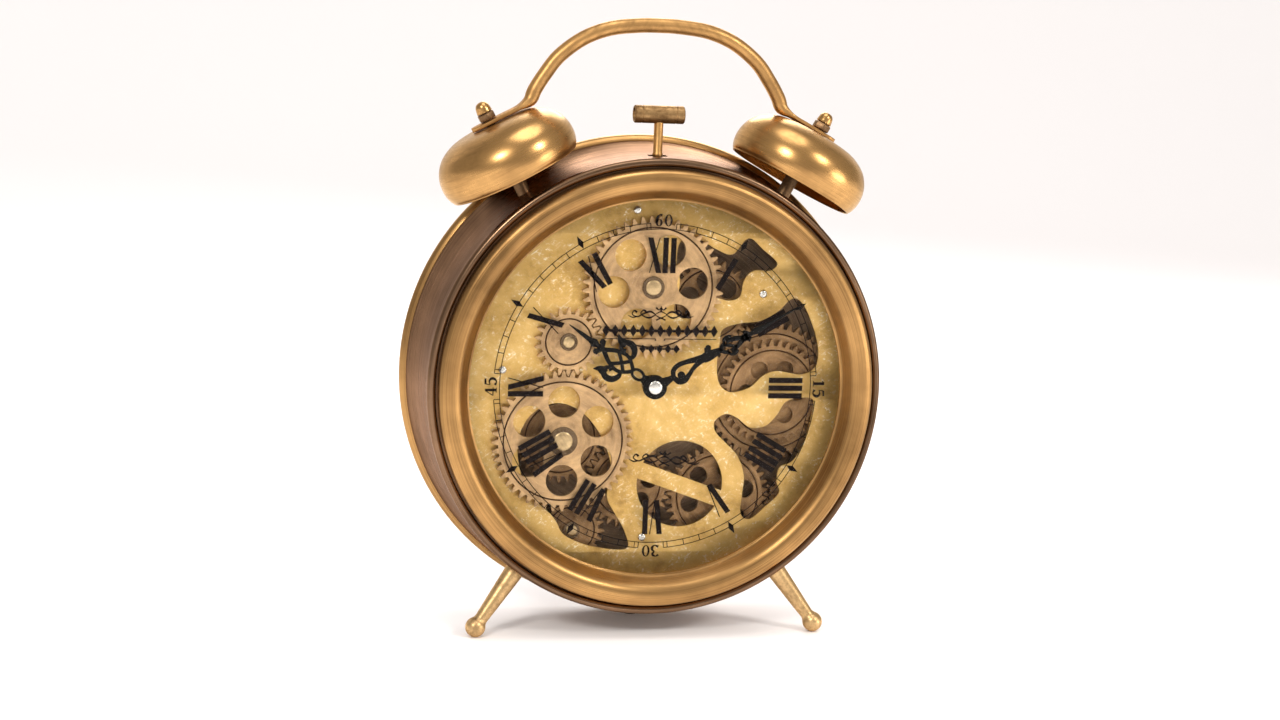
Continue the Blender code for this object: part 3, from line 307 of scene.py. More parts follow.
wire(links, (group_in, "Place", cloud, "Vector"), (group_in, "Cloud Size", cloud, "Scale"),
     (group_in, "Place", grain, "Vector"), (bend, "Pointiness", groove, "Value"), (groove, 0, in_groove, 0),
     (group_in, "Corner", in_groove, 1), (cloud, "Fac", cloudy, "Value"),
     (group_in, "Mark", streaky, "Value"), (streaky, 0, both, 0), (cloudy, 0, both, 2),
     (both, 0, shared, 0), (group_in, "Amount", shared, 1), (shared, 0, summed, 0),
     (in_groove, 0, summed, 1), (summed, 0, colour, "Factor"), (group_in, "Metal", colour, "A"),
     (group_in, "Wash", colour, "B"), (summed, 0, rough, 0), (group_in, "Polish", rough, 2),
     (grain, "Fac", height, 0), (group_in, "Mark", height, 2), (colour, "Result", group_out, "Colour"),
     (rough, 0, group_out, "Roughness"), (height, 0, group_out, "Height"))
print("effect:", wash.name)

# %% [markdown]
# One function mixes every washed metal on the clock. It centres the pattern on the piece and turns it to
# the piece's own axis, so a bell is brushed round its own stud and the case round the clock's axis.

# %% Washed metals
FACING = (math.radians(90.0), 0.0, 0.0)       # local up points out of the dial


def washed_metal(name, metal, brown, amount, centre, turn=FACING, corner=0.6, cloud=60.0, polish=0.3,
                 fineness=900.0, length=3.0, bump=0.15, metallic=1.0, edge_tint=(1.0, 0.86, 0.70)):
    """A metal with brush marks round an axis and the remains of a brown wash."""
    material, nodes, links, shader, place = new_finish(name, Metallic=metallic,
                                                       Specular_Tint=(*edge_tint, 1.0))
    centred = node(nodes, "ShaderNodeMapping", vector_type="TEXTURE", Location=centre, Rotation=turn)
    marks = node(nodes, "ShaderNodeGroup", node_tree=brush_marks, Fineness=fineness, Length=length)
    aged = node(nodes, "ShaderNodeGroup", node_tree=wash, Metal=(*metal, 1.0), Wash=(*brown, 1.0),
                Amount=amount, Corner=corner, Cloud_Size=cloud, Polish=polish)
    relief = node(nodes, "ShaderNodeBump", Strength=bump, Distance=0.0001)
    wire(links, (place, "Object", centred, "Vector"), (centred, 0, marks, "Place"),
         (centred, 0, aged, "Place"), (marks, "Mark", aged, "Mark"), (aged, "Colour", shader, "Base Color"),
         (aged, "Roughness", shader, "Roughness"), (aged, "Height", relief, "Height"),
         (relief, 0, shader, "Normal"))
    return material


BRASS = (0.62, 0.350, 0.128)
BROWN = (0.13, 0.068, 0.026)
bezel_brass = washed_metal("bezel brass", BRASS, BROWN, 0.74, at(0, 0, 0), polish=0.25, length=1.1,
                           cloud=13.0, fineness=2400.0, bump=0.35, edge_tint=(1.0, 0.92, 0.78))
case_bronze = washed_metal("case bronze", (0.27, 0.160, 0.092), (0.05, 0.030, 0.018), 0.7, at(0, 0, 0),
                           polish=0.20, length=1.2, cloud=16.0, fineness=1600.0, bump=0.3,
                           edge_tint=(0.8, 0.66, 0.58))
print("metals:", [bezel_brass.name, case_bronze.name])

# %% [markdown]
# Paint, enamel, ink, plastic and glass are plainer. One noise wanders through their colour and their
# roughness, and a finer one may raise their surface. The cove is the first to be painted: a warm white,
# with a faint, large mottling that keeps it from looking like plain paper.

# %% Plain finishes and cove paint
def speckled(name, noise, shades=None, gloss=None, grit=None, **settings):
    """A finish with a noise in its colour and roughness, and a finer one (grit) in its surface."""
    material, nodes, links, shader, place = new_finish(name, **settings)
    cloud = node(nodes, "ShaderNodeTexNoise", **noise)
    links.new(place.outputs["Object"], cloud.inputs["Vector"])
    if shades:
        shade = node(nodes, "ShaderNodeMix", data_type="RGBA", A=(*shades[0], 1.0), B=(*shades[1], 1.0))
        wire(links, (cloud, "Fac", shade, "Factor"), (shade, "Result", shader, "Base Color"))
    if gloss:
        sheen = node(nodes, "ShaderNodeMapRange", To_Min=gloss[0], To_Max=gloss[1])
        wire(links, (cloud, "Fac", sheen, "Value"), (sheen, 0, shader, "Roughness"))
    if grit:
        scale, detail, strength, distance = grit
        fine = node(nodes, "ShaderNodeTexNoise", Scale=scale, Detail=detail)
        relief = node(nodes, "ShaderNodeBump", Strength=strength, Distance=distance)
        wire(links, (place, "Object", fine, "Vector"), (fine, "Fac", relief, "Height"),
             (relief, 0, shader, "Normal"))
    return material


cove_paint = speckled("cove paint", {"Scale": 1.2, "Detail": 3.0},
                      ((0.93, 0.90, 0.90), (0.95, 0.925, 0.92)), Roughness=0.7)
cove.data.materials.append(cove_paint)
print("cove painted")

# %% [markdown]
# ## Turning the round pieces
# Most of this clock is lathe work. A lathe piece starts as a ring of points that is pulled onto the
# outline of one half of its section, and is then spun once round its axis. Pieces are modelled in
# millimetres at the world's centre and are seated afterwards: seating scales, turns and moves the piece,
# applies all three to its mesh, smooths it, gives it its finish and lets it ride on its body.

# %% Lathe and seating helpers
ROUND = 160                  # steps round the case
ROUND_SMALL = 48


def use_only(piece):
    start_fresh()
    piece.select_set(True)
    bpy.context.view_layer.objects.active = piece


def tidy_mesh(piece, threshold=1e-3):
    """Merges doubled points and turns every face outwards."""
    use_only(piece)
    bpy.ops.object.mode_set(mode="EDIT")
    bpy.ops.mesh.select_all(action="SELECT")
    bpy.ops.mesh.remove_doubles(threshold=threshold)
    bpy.ops.mesh.delete_loose()
    bpy.ops.mesh.select_all(action="SELECT")
    bpy.ops.mesh.normals_make_consistent(inside=False)
    bpy.ops.object.mode_set(mode="OBJECT")
    return piece


def turned(profile, steps=ROUND):
    """Spins a closed outline of (radius, height) points once round local Z."""
    start_fresh()
    bpy.ops.mesh.primitive_circle_add(vertices=len(profile), radius=1.0, location=(0, 0, 0))
    piece = bpy.context.object
    for vert, (radius, height) in zip(piece.data.vertices, profile):
        vert.co = (radius, 0.0, height)
    bpy.ops.object.mode_set(mode="EDIT")
    bpy.ops.mesh.select_all(action="SELECT")
    bpy.ops.mesh.spin(steps=steps, angle=math.tau, center=(0, 0, 0), axis=(0, 0, 1))
    bpy.ops.object.mode_set(mode="OBJECT")
    return tidy_mesh(piece)


def by_depth(points):
    """Turns (radius, depth) into (radius, height) for a piece that faces out of the dial."""
    return [(radius, -depth) for radius, depth in points]


def smooth_line(points, cuts=4, closed=False):
    """A smooth line through the points, closed or open, with a few steps between each two."""
    count = len(points)
    spans = count if closed else count - 1
    line = []
    for i in range(spans):
        near = [points[(i + k) % count] if closed else points[min(max(i + k, 0), count - 1)]
                for k in (-1, 0, 1, 2)]
        before, here, after, beyond = (Vector(point) for point in near)
        for cut in range(cuts):
            t = cut / cuts
            line.append(tuple(0.5 * (2 * here + (after - before) * t
                                     + (2 * before - 5 * here + 4 * after - beyond) * t ** 2
                                     + (3 * here - before - 3 * after + beyond) * t ** 3)))
    if not closed:
        line.append(tuple(points[-1]))
    return line


def seat(piece, name, place, turn, finish, body, stands_for=(), crease=32.0):
    """Puts a piece modelled in millimetres on the clock and makes it part of a body."""
    use_only(piece)
    piece.scale = (MM, MM, MM)
    piece.rotation_euler = turn
    piece.location = place
    bpy.ops.object.transform_apply(location=True, rotation=True, scale=True)
    bpy.ops.object.shade_smooth_by_angle(angle=math.radians(crease))
    piece.name = name
    piece.data.name = name
    piece.data.materials.clear()
    piece.data.materials.append(finish)
    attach(piece, body)
    if stands_for:
        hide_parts(*stands_for)
    return piece


print("lathe ready,", ROUND, "steps")

# %% [markdown]
# The case is spun from sheet metal and flares towards its back. Its front edge is rolled over a wire into
# a round bead. The bezel in front of it is a spun ring: a steep inner slope down to the
# glass, a flat crown and a rounded shoulder that drops into a dark groove before the bead.

# %% Case, bezel and back rim
RIM_FRONT = 43.7             # where the rolled rim starts
DRUM_START = 3.2
CASE_BACK = 43.4
DRUM_R = 98.9                # at the drum's start
DRUM_TAPER = 1.2             # the part of the flare that grows evenly with depth
DRUM_FLARE = 4.5             # the part that grows mostly near the back
CASE_WALL = 1.2


def case_radius(depth):
    """Outer radius of the case at a depth: nearly straight behind the bead, then flaring."""
    share = (depth - DRUM_START) / (CASE_BACK - DRUM_START)
    return DRUM_R + DRUM_TAPER * share + DRUM_FLARE * share ** 3


bead = smooth_line([(96.3, -1.0), (96.35, -2.0), (96.9, -2.9), (98.0, -3.3), (99.1, -2.9), (99.8, -1.8),
                    (100.0, -0.4),
                    (99.9, 1.0), (99.4, 2.3), (98.9, 3.15)], 3)
DEPTHS = [3.6 + (CASE_BACK - 3.6) * step / 14 for step in range(15)]
case_outline = [(91.2, -1.0)] + bead + [(case_radius(depth), depth) for depth in DEPTHS]
case_outline += [(case_radius(depth) - CASE_WALL, depth) for depth in DEPTHS[::-1]]
case_outline += [(97.4, 1.6), (96.6, 0.2), (91.2, 0.2)]
case = turned(by_depth(case_outline))
HAMMER_DEPTH = 18.9
HAMMER_SLOT = (8.4, 16.0, 4.6)
start_fresh()
bpy.ops.mesh.primitive_cube_add(size=1.0, location=(0.0, 100.0, -HAMMER_DEPTH))
slot_tool = bpy.context.object
slot_tool.scale = HAMMER_SLOT
cut = case.modifiers.new("slot", "BOOLEAN")
cut.object = slot_tool
use_only(case)
bpy.ops.object.modifier_apply(modifier="slot")
bpy.data.objects.remove(slot_tool)
seat(case, "case_shell", at(0, 0, 0), FACING, case_bronze, "case", ["case_drum"])

crown = smooth_line([(82.0, -0.2), (82.0, -1.2), (82.9, -1.7), (84.8, -4.7), (86.3, -6.8), (88.0, -8.0),
                     (90.0, -8.5),
                     (91.8, -8.45), (93.3, -8.0), (94.5, -7.1), (95.2, -5.8), (95.4, -4.2), (95.4, -1.3)],
                     4)
underside = smooth_line([(94.3, -1.3), (94.2, -3.6), (93.8, -5.6), (92.4, -6.9), (90.2, -7.3), (87.6, -6.0),
                         (83.2, -0.2)], 3)
bezel = turned(by_depth(crown + underside))
seat(bezel, "bezel_ring", at(0, 0, 0), FACING, bezel_brass, "case", ["front_bezel"])

roll = smooth_line([(101.6, RIM_FRONT), (104.5, RIM_FRONT), (105.2, RIM_FRONT + 0.2),
                    (106.5, RIM_FRONT + 1.2),
                    (107.25, RIM_FRONT + 2.7), (107.2, RIM_FRONT + 4.2), (106.2, 49.1), (104.8, 49.6),
                    (103.3, 48.8),
                    (102.6, 46.2), (101.6, 46.0)], 3)
rim = turned(by_depth(roll))
seat(rim, "rear_rolled_rim", at(0, 0, 0), FACING, bezel_brass, "case", ["back_rim"])
print("case pieces:", [item.name for item in (case, bezel, rim)])

# %% [markdown]
# Each bell is a spun cup, widest a little above its rolled lip. It leans outwards
# on its post. The pattern of its brass is centred on the bell's own axis, so that the brush marks run
# round the crown. Left and right bell are turned alike and only tilted the other way.

# %% Bells, posts and nuts
BELL_TILT = math.radians(28.0)
BELL_DEPTH = 23.5
BELL_CROWN = (72.6, 110.5)
BELL_HEIGHT = 23.8


def bell_place(side, height):
    """A point on a bell's axis, measured up from its crown."""
    return at(side * (BELL_CROWN[0] + math.sin(BELL_TILT) * height), BELL_DEPTH,
              BELL_CROWN[1] + math.cos(BELL_TILT) * height)


cup = smooth_line([(28.7, 0.3), (28.9, -0.05), (29.25, 0.15), (29.4, 0.6), (30.1, 1.7), (30.9, 4.1),
                   (31.2, 7.3), (30.7, 11.2),
                   (29.0, 15.2), (25.6, 19.2), (20.0, 22.3), (14.0, 23.5), (8.0, 23.77),
                   (2.3, BELL_HEIGHT)], 4)
hollow = smooth_line([(2.3, 22.9), (8.0, 22.87), (13.6, 22.6), (19.2, 21.5), (24.8, 18.6), (28.1, 14.8),
                      (29.7, 11.0), (30.2, 7.3),
                      (29.9, 4.2), (29.2, 2.0)], 3)
for prefix, side in (("left", -1), ("right", 1)):
    tilt = (0.0, side * BELL_TILT, 0.0)
    bell_brass = washed_metal(prefix + " bell brass", BRASS, BROWN, 0.46, bell_place(side, 0), tilt,
                              polish=0.23, cloud=48.0, length=2.6, fineness=1800.0, corner=0.5, bump=0.3,
                              edge_tint=(1.0, 0.94, 0.8))
    bell = turned(cup + hollow, 128)
    seat(bell, prefix + "_bell_cup", bell_place(side, -BELL_HEIGHT), tilt, bell_brass, "case",
         [prefix + "_bell"])
    bronze = washed_metal(prefix + " post bronze", (0.24, 0.14, 0.07), (0.06, 0.036, 0.02), 0.6,
                          bell_place(side, 0), tilt, polish=0.34)
    post = turned([(0.0, 9.0), (1.5, 9.0), (1.9, 8.6), (1.9, -1.2), (3.0, -1.2), (3.0, -34.4),
                   (0.0, -34.4)], 32)
    seat(post, prefix + "_bell_stem", bell_place(side, 0), tilt, bronze, "case",
         [prefix + "_bell_post"])
    start_fresh()
    bpy.ops.mesh.primitive_cylinder_add(vertices=6, radius=4.0, depth=3.0, location=(0, 0, 4.1))
    lock = bpy.context.object
    bpy.ops.object.mode_set(mode="EDIT")
    bpy.ops.mesh.select_all(action="SELECT")
    bpy.ops.mesh.bevel(offset=0.35, segments=3)
    bpy.ops.object.mode_set(mode="OBJECT")
    bpy.ops.object.transform_apply(location=True, rotation=False, scale=False)
    seat(lock, prefix + "_hex_nut", bell_place(side, 0), tilt, bronze, "case",
         [prefix + "_lock_nut"])
    dome = turned(smooth_line([(0.0, 5.9), (3.2, 5.9), (3.3, 6.8), (3.2, 7.6), (2.9, 8.9), (2.1, 10.1),
                               (1.0, 10.6), (0.0, 10.7)], 3), 32)
    seat(dome, prefix + "_acorn_nut", bell_place(side, 0), tilt, bell_brass, "case",
         [prefix + "_dome_nut"])
print("bells at", [round(value, 3) for value in bell_place(1, 0)])

# %% [markdown]
# The carrying handle is one tube whose two ends are pressed flat into straps. A loft does this: a grid
# primitive is rolled onto a row of rings, and the rings change from round to flat along the handle.

# %% Loft helper and carrying handle
def loft(rings):
    """Rolls a grid onto a row of rings that all have the same number of points, and closes its ends."""
    sides = len(rings[0])
    start_fresh()
    bpy.ops.mesh.primitive_grid_add(x_subdivisions=sides, y_subdivisions=len(rings) - 1, size=1.0)
    piece = bpy.context.object
    for row, ring in enumerate(rings):
        for column in range(sides + 1):
            piece.data.vertices[row * (sides + 1) + column].co = ring[column % sides]
    bpy.ops.object.mode_set(mode="EDIT")
    bpy.ops.mesh.select_all(action="SELECT")
    bpy.ops.mesh.remove_doubles(threshold=1e-3)
    bpy.ops.mesh.select_all(action="DESELECT")
    bpy.ops.mesh.select_mode(type="EDGE")
    bpy.ops.mesh.select_non_manifold()
    bpy.ops.mesh.fill_holes(sides=0)
    bpy.ops.object.mode_set(mode="OBJECT")
    return tidy_mesh(piece)


TUBE_R = 3.15
STRAP_HALF_THICK = 1.0
STRAP_HALF_WIDTH = 4.6
STRAP_END = 8.3
STRAP_START = -13.0
HANDLE_ARCH = [(56.2, 121.4), (54.0, 126.2), (50.0, 132.8), (43.7, 141.1), (33.4, 148.9), (22.0, 153.4),
               (9.5, 155.1)]
HANDLE_TOP = 155.4
along_axis = Vector((math.sin(BELL_TILT), math.cos(BELL_TILT)))
outward = Vector((math.cos(BELL_TILT), -math.sin(BELL_TILT)))
bell_crown = Vector(BELL_CROWN)
strap_level = 0.3 + STRAP_HALF_THICK
strap = [tuple(bell_crown + along_axis * strap_level + outward * reach)
         for reach in (STRAP_END, 8.0, 6.8, 4.0, 0.0, -4.0, -8.0, STRAP_START)]
half = strap + HANDLE_ARCH
handle_line = smooth_line([(-x, z) for x, z in half] + [(0.0, HANDLE_TOP)] + half[::-1], 5)
HANDLE_SIDES = 28
rings = []
for i, spot in enumerate(handle_line):
    ahead = Vector(handle_line[min(i + 1, len(handle_line) - 1)]) - Vector(handle_line[max(i - 1, 0)])
    normal = Vector((-ahead.y, ahead.x)).normalized()
    reach = (Vector((abs(spot[0]), spot[1])) - bell_crown).dot(outward)
    flat = min(1.0, max(0.0, (reach - STRAP_START + 9.0) / 9.0))
    flat = flat * flat * (3 - 2 * flat)
    half_thick = TUBE_R + (STRAP_HALF_THICK - TUBE_R) * flat
    half_wide = TUBE_R + (STRAP_HALF_WIDTH - TUBE_R) * flat
    to_end = STRAP_END - reach
    if to_end < STRAP_HALF_WIDTH:
        half_wide *= math.sqrt(max(0.02, 1.0 - (1.0 - to_end / STRAP_HALF_WIDTH) ** 2))
    ring = []
    for k in range(HANDLE_SIDES):
        angle = math.tau * k / HANDLE_SIDES
        power = 1.0 - 0.55 * flat
        across = math.copysign(abs(math.cos(angle)) ** power, math.cos(angle)) * half_thick
        deep = math.copysign(abs(math.sin(angle)) ** power, math.sin(angle)) * half_wide
        ring.append((spot[0] + normal.x * across, deep, spot[1] + normal.y * across))
    rings.append(ring)
aged_brass = washed_metal("handle brass", BRASS, BROWN, 0.5, at(0, BELL_DEPTH, 100.0), (0.0, 0.0, 0.0),
                          polish=0.36, cloud=110.0, fineness=260.0, length=1.2)
handle = loft(rings)
seat(handle, "handle_tube", at(0, BELL_DEPTH, 0), (0, 0, 0), aged_brass, "case",
     ["carry_handle"])
print("handle:", len(handle.data.polygons), "faces")

# %% [markdown]
# The hammer is a rod with a short thick cross tube on it. Both rock together on a pin just inside the
# case. The head's two ends are slightly hollow, as a cut tube is.

# %% Hammer and legs
HAMMER_PIVOT = 95.0
HAMMER_TOP = 117.4
SIDEWAYS = (0.0, math.radians(90.0), 0.0)
head_outline = [(0.0, 9.6), (2.3, 9.6), (2.6, 10.6), (2.9, 11.0), (3.5, 11.0), (3.85, 10.6), (3.85, 7.9),
                (3.72, 7.7), (3.72, 7.4),
                (3.85, 7.2)]
head_outline += [(radius, -height) for radius, height in reversed(head_outline)]
head = turned(head_outline, ROUND_SMALL)
hammer_brass = washed_metal("hammer brass", (0.44, 0.27, 0.12), BROWN, 0.75,
                            at(0, HAMMER_DEPTH, HAMMER_TOP), SIDEWAYS,
                            polish=0.34, cloud=160.0, fineness=500.0)
seat(head, "hammer_cross_tube", at(0, HAMMER_DEPTH, HAMMER_TOP), SIDEWAYS, hammer_brass, "hammer",
     ["hammer_head"])
rod = turned([(0.0, 22.0), (2.0, 22.0), (2.0, 6.0), (2.25, 5.6), (2.25, 4.4), (2.0, 4.0), (2.0, -2.8),
              (0.0, -2.8)], 32)
seat(rod, "hammer_stem", at(0, HAMMER_DEPTH, HAMMER_PIVOT), (0, 0, 0), aged_brass, "hammer",
     ["hammer_rod"])

LEG_BALL = 4.4
LEG_FOOT = (75.9, 2.2)
LEG_SPLAY = math.radians(36.4)
for prefix, side in (("left", -1), ("right", 1)):
    ball = at(side * LEG_FOOT[0], LEG_FOOT[1], 0)
    ball.z = LEG_BALL * MM
    lean = Vector((-side * math.sin(LEG_SPLAY) * 30.0, 6.0, math.cos(LEG_SPLAY) * 30.0)).normalized()
    turn = lean.to_track_quat("Z", "Y").to_euler()
    ball_arc = [(LEG_BALL * math.sin(math.radians(a)), -LEG_BALL * math.cos(math.radians(a)))
                for a in range(0, 132, 6)]
    shank = smooth_line([(3.05, 3.5), (2.85, 4.6), (2.95, 6.0), (3.3, 12.0), (3.9, 23.0), (4.35, 31.0)], 3)
    leg_brass = washed_metal(prefix + " leg brass", (0.80, 0.54, 0.26), BROWN, 0.50, ball, turn,
                             polish=0.34, cloud=160.0,
                             fineness=700.0)
    leg = turned(ball_arc + shank + [(0.0, 31.0)], ROUND_SMALL)
    seat(leg, prefix + "_splayed_leg", ball, turn, leg_brass, "case", [prefix + "_leg"])
print("hammer pivot", HAMMER_PIVOT, "legs lean", round(math.degrees(LEG_SPLAY), 1))

# %% [markdown]
# ## Flat pieces
# Gears, plates, hands and the printed dial are flat outlines with holes. A 2D curve fills such outlines
# by itself and can give the edge a tiny chamfer, so each outline is drawn as a curve in millimetres and
# converted to a mesh. The chamfer matters: it is what catches the light on a stamped edge.

# %% Flat shape helpers
def oval(half_width, half_height, count, centre=(0.0, 0.0)):
    return [(centre[0] + half_width * math.cos(math.tau * i / count),
             centre[1] + half_height * math.sin(math.tau * i / count)) for i in range(count)]


def circle(radius, count=48, centre=(0.0, 0.0)):
    return oval(radius, radius, count, centre)


def flat_shape(loops, thickness, edge=0.0):
    """Fills outlines and their holes to a plate centred on local z = 0, with chamfered edges."""
    start_fresh()
    curve = bpy.data.curves.new("outline", "CURVE")
    curve.dimensions = "2D"
    curve.fill_mode = "BOTH"
    curve.extrude = thickness / 2 - edge
    curve.bevel_depth = edge
    curve.bevel_resolution = 1
    curve.offset = -edge
    for loop in loops:
        spline = curve.splines.new("POLY")
        spline.points.add(len(loop) - 1)
        for point, (x, y) in zip(spline.points, loop):
            point.co = (x, y, 0.0, 1.0)
        spline.use_cyclic_u = True
    piece = bpy.data.objects.new("outline", curve)
    bpy.context.scene.collection.objects.link(piece)
    use_only(piece)
    bpy.ops.object.convert(target="MESH")
    return tidy_mesh(bpy.context.object, 2e-3)


def join(pieces):
    """Makes several meshes one piece."""
    use_only(pieces[0])
    for piece in pieces[1:]:
        piece.select_set(True)
    bpy.ops.object.join()
    return bpy.context.object


def cut_away(piece, tool):
    """Cuts a tool out of a piece and throws the tool away."""
    cut = piece.modifiers.new("cut", "BOOLEAN")
    cut.object = tool
    use_only(piece)
    bpy.ops.object.modifier_apply(modifier="cut")
    bpy.data.objects.remove(tool)
    return piece


print("flat shapes ready")

# %% [markdown]
# The dial plate is thin sheet covered in gold leaf. Leaf is laid in small overlapping squares and
# burnished by hand, so it is cloudy, with fine crossing scratches and small rubbed flecks. Soft noise
# gives the clouds, noise stretched in two directions gives the rubbed lines, and the same masks raise
# the surface a little, so that these places also catch the lamps. The masks also lighten the colour
# towards a pale gold there: a painted glint.

# %% Gold leaf
gold_leaf, nodes, links, shader, place = new_finish("gold leaf", Metallic=0.86,
                                                    Specular_Tint=(1.0, 0.9, 0.7, 1.0))
centred = node(nodes, "ShaderNodeMapping", vector_type="TEXTURE", Location=at(0, 12.4, 0), Rotation=FACING)


def leaf_noise(scale, detail, roughness, vector):
    made = node(nodes, "ShaderNodeTexNoise", Scale=scale, Detail=detail, Roughness=roughness)
    links.new(vector, made.inputs["Vector"])
    return made.outputs["Fac"]


def leaf_range(value, low, high, to_low=0.0, to_high=1.0):
    made = node(nodes, "ShaderNodeMapRange", From_Min=low, From_Max=high, To_Min=to_low, To_Max=to_high)
    links.new(value, made.inputs["Value"])
    return made.outputs[0]


def leaf_math(operation, first, second, third=None):
    made = node(nodes, "ShaderNodeMath", operation=operation)
    for socket, value in zip(made.inputs, (first, second, third)):
        if value is None:
            continue
        if isinstance(value, float):
            socket.default_value = value
        else:
            links.new(value, socket)
    return made.outputs[0]


def leaf_stretch(angle, scale):
    made = node(nodes, "ShaderNodeMapping", vector_type="TEXTURE", Rotation=(0.0, 0.0, math.radians(angle)),
                Scale=[1.0 / part for part in scale])
    links.new(centred.outputs[0], made.inputs["Vector"])
    return made.outputs[0]


links.new(place.outputs["Object"], centred.inputs["Vector"])
clouds = leaf_noise(30.0, 7.0, 0.7, centred.outputs[0])
patches = leaf_noise(110.0, 5.0, 0.75, centred.outputs[0])
flecks = leaf_range(leaf_noise(520.0, 4.0, 0.75, centred.outputs[0]), 0.55, 0.63)
rubbed = leaf_range(leaf_noise(1.0, 4.0, 0.7, leaf_stretch(38.0, (90.0, 900.0, 60.0))), 0.58, 0.68)
crossed = leaf_range(leaf_noise(1.0, 4.0, 0.7, leaf_stretch(-27.0, (80.0, 800.0, 50.0))), 0.60, 0.70)
shine = leaf_math("MAXIMUM", rubbed, crossed)
patchy = leaf_range(patches, 0.46, 0.62)
sparkle = leaf_math("MAXIMUM", leaf_math("MULTIPLY", shine, patchy), leaf_math("MULTIPLY", flecks, patchy))
tone = node(nodes, "ShaderNodeValToRGB")
tone.color_ramp.elements[0].position = 0.30
tone.color_ramp.elements[0].color = (0.30, 0.170, 0.050, 1.0)
tone.color_ramp.elements[1].position = 0.66
tone.color_ramp.elements[1].color = (0.84, 0.58, 0.22, 1.0)
middle_tone = tone.color_ramp.elements.new(0.47)
middle_tone.color = (0.66, 0.42, 0.135, 1.0)
links.new(leaf_math("MULTIPLY_ADD", patches, 0.35, leaf_math("MULTIPLY", clouds, 0.65)), tone.inputs["Fac"])
# Scratches and flecks are mixed towards a pale gold: a painted glint, on top of their real relief and
# smoothness.
bright = node(nodes, "ShaderNodeMix", data_type="RGBA", B=(1.0, 0.90, 0.66, 1.0))
links.new(sparkle, bright.inputs["Factor"])
wire(links, (tone, "Color", bright, "A"), (bright, "Result", shader, "Base Color"))
links.new(leaf_math("MULTIPLY_ADD", sparkle, -0.2, leaf_range(clouds, 0.3, 0.7, 0.56, 0.44)),
          shader.inputs["Roughness"])
relief = node(nodes, "ShaderNodeBump", Strength=0.55, Distance=0.0002)
links.new(leaf_math("MULTIPLY_ADD", patches, 0.6, leaf_math("MULTIPLY", sparkle, 0.5)),
          relief.inputs["Height"])
links.new(relief.outputs[0], shader.inputs["Normal"])
print("finish:", gold_leaf.name)

# %% [markdown]
# The openings of the plate have soft hand-drawn outlines. Each is a short row of points on its edge,
# and a smooth closed line runs through them. One round opening is crossed by a slanting bar, so it is
# drawn as its two halves.

# %% Dial plate
TOP_RIGHT_OPENING = [(41.0, 65.0), (48.0, 60.0), (54.4, 54.4), (51.5, 51.0), (44.0, 50.8), (39.8, 46.5),
                     (38.2, 39.2), (33.0, 37.4), (26.5, 38.5), (21.0, 35.0), (17.5, 30.4), (12.4, 29.4),
                     (8.8, 33.0), (10.4, 40.0), (10.8, 46.5), (9.2, 54.0), (9.8, 61.5), (14.0, 65.5),
                     (20.0, 63.5), (26.5, 60.0), (34.0, 57.8)]
RIGHT_OPENING = [(30.0, 18.0), (31.2, 24.6), (39.0, 27.4), (48.0, 28.6), (56.0, 33.0), (62.0, 38.6),
                 (67.0, 36.5), (72.0, 27.0), (75.0, 17.0), (74.4, 8.5), (68.0, 4.8), (57.0, 6.2),
                 (50.6, 4.2), (44.6, -1.2), (36.0, -3.4), (30.6, 0.6), (29.2, 9.0)]
LOWER_RIGHT_OPENING = [(29.4, -16.4), (34.2, -13.2), (39.6, -15.0), (45.5, -19.2), (52.5, -18.6),
                       (57.6, -13.6), (61.5, -7.6), (68.0, -5.8), (74.0, -6.6), (73.4, -15.0),
                       (70.4, -27.0), (65.8, -34.6), (60.2, -37.2), (59.0, -43.6), (60.4, -49.0),
                       (54.6, -55.0), (47.6, -60.8), (43.2, -58.4), (43.4, -50.0), (43.8, -41.0),
                       (40.6, -32.2), (34.2, -25.6), (29.8, -21.0)]
LOWER_LEFT_OPENING = [(-8.4, -74.0), (-9.4, -66.0), (-14.0, -58.0), (-18.0, -50.0), (-16.4, -38.0),
                      (-21.0, -24.0), (-30.5, -12.5), (-42.0, -8.6), (-53.0, -14.0), (-58.0, -25.0),
                      (-57.0, -38.0), (-52.0, -48.0), (-45.6, -54.6), (-40.4, -61.0), (-36.0, -67.8),
                      (-24.0, -72.6)]
BOTTOM_HOLE = (14.6, -44.6, 19.4)      # centre sideways, centre height, radius
BAR_ENDS = ((-4.0, -38.4), (33.4, -51.6))
BAR_WIDTH = 7.4
PLATE_R = 96.4
BUSH_HOLE_R = 4.2


def beside_bar(side):
    """The part of the round opening that the slanting bar leaves open on one side."""
    centre = Vector(BOTTOM_HOLE[:2])
    start, end = Vector(BAR_ENDS[0]), Vector(BAR_ENDS[1])
    along = (end - start).normalized()
    normal = Vector((-along.y, along.x)) * side
    reach = (start - centre).dot(normal) + BAR_WIDTH / 2
    half_angle = math.acos(reach / BOTTOM_HOLE[2])
    middle = math.atan2(normal.y, normal.x)
    return [(centre.x + BOTTOM_HOLE[2] * math.cos(middle + half_angle * share / 24),
             centre.y + BOTTOM_HOLE[2] * math.sin(middle + half_angle * share / 24))
            for share in range(-24, 25)]


plate_loops = [circle(PLATE_R, ROUND), circle(BUSH_HOLE_R), beside_bar(1), beside_bar(-1)]
plate_loops += [smooth_line(outline, 6, closed=True) for outline in
                (TOP_RIGHT_OPENING, RIGHT_OPENING, LOWER_RIGHT_OPENING, LOWER_LEFT_OPENING)]
dial = flat_shape(plate_loops, 1.0, 0.12)
seat(dial, "leafed_dial", at(0, front_of("dial_plate") + 0.5, 0), FACING, gold_leaf, "case",
     ["dial_plate"])
print("dial plate:", len(dial.data.polygons), "faces")

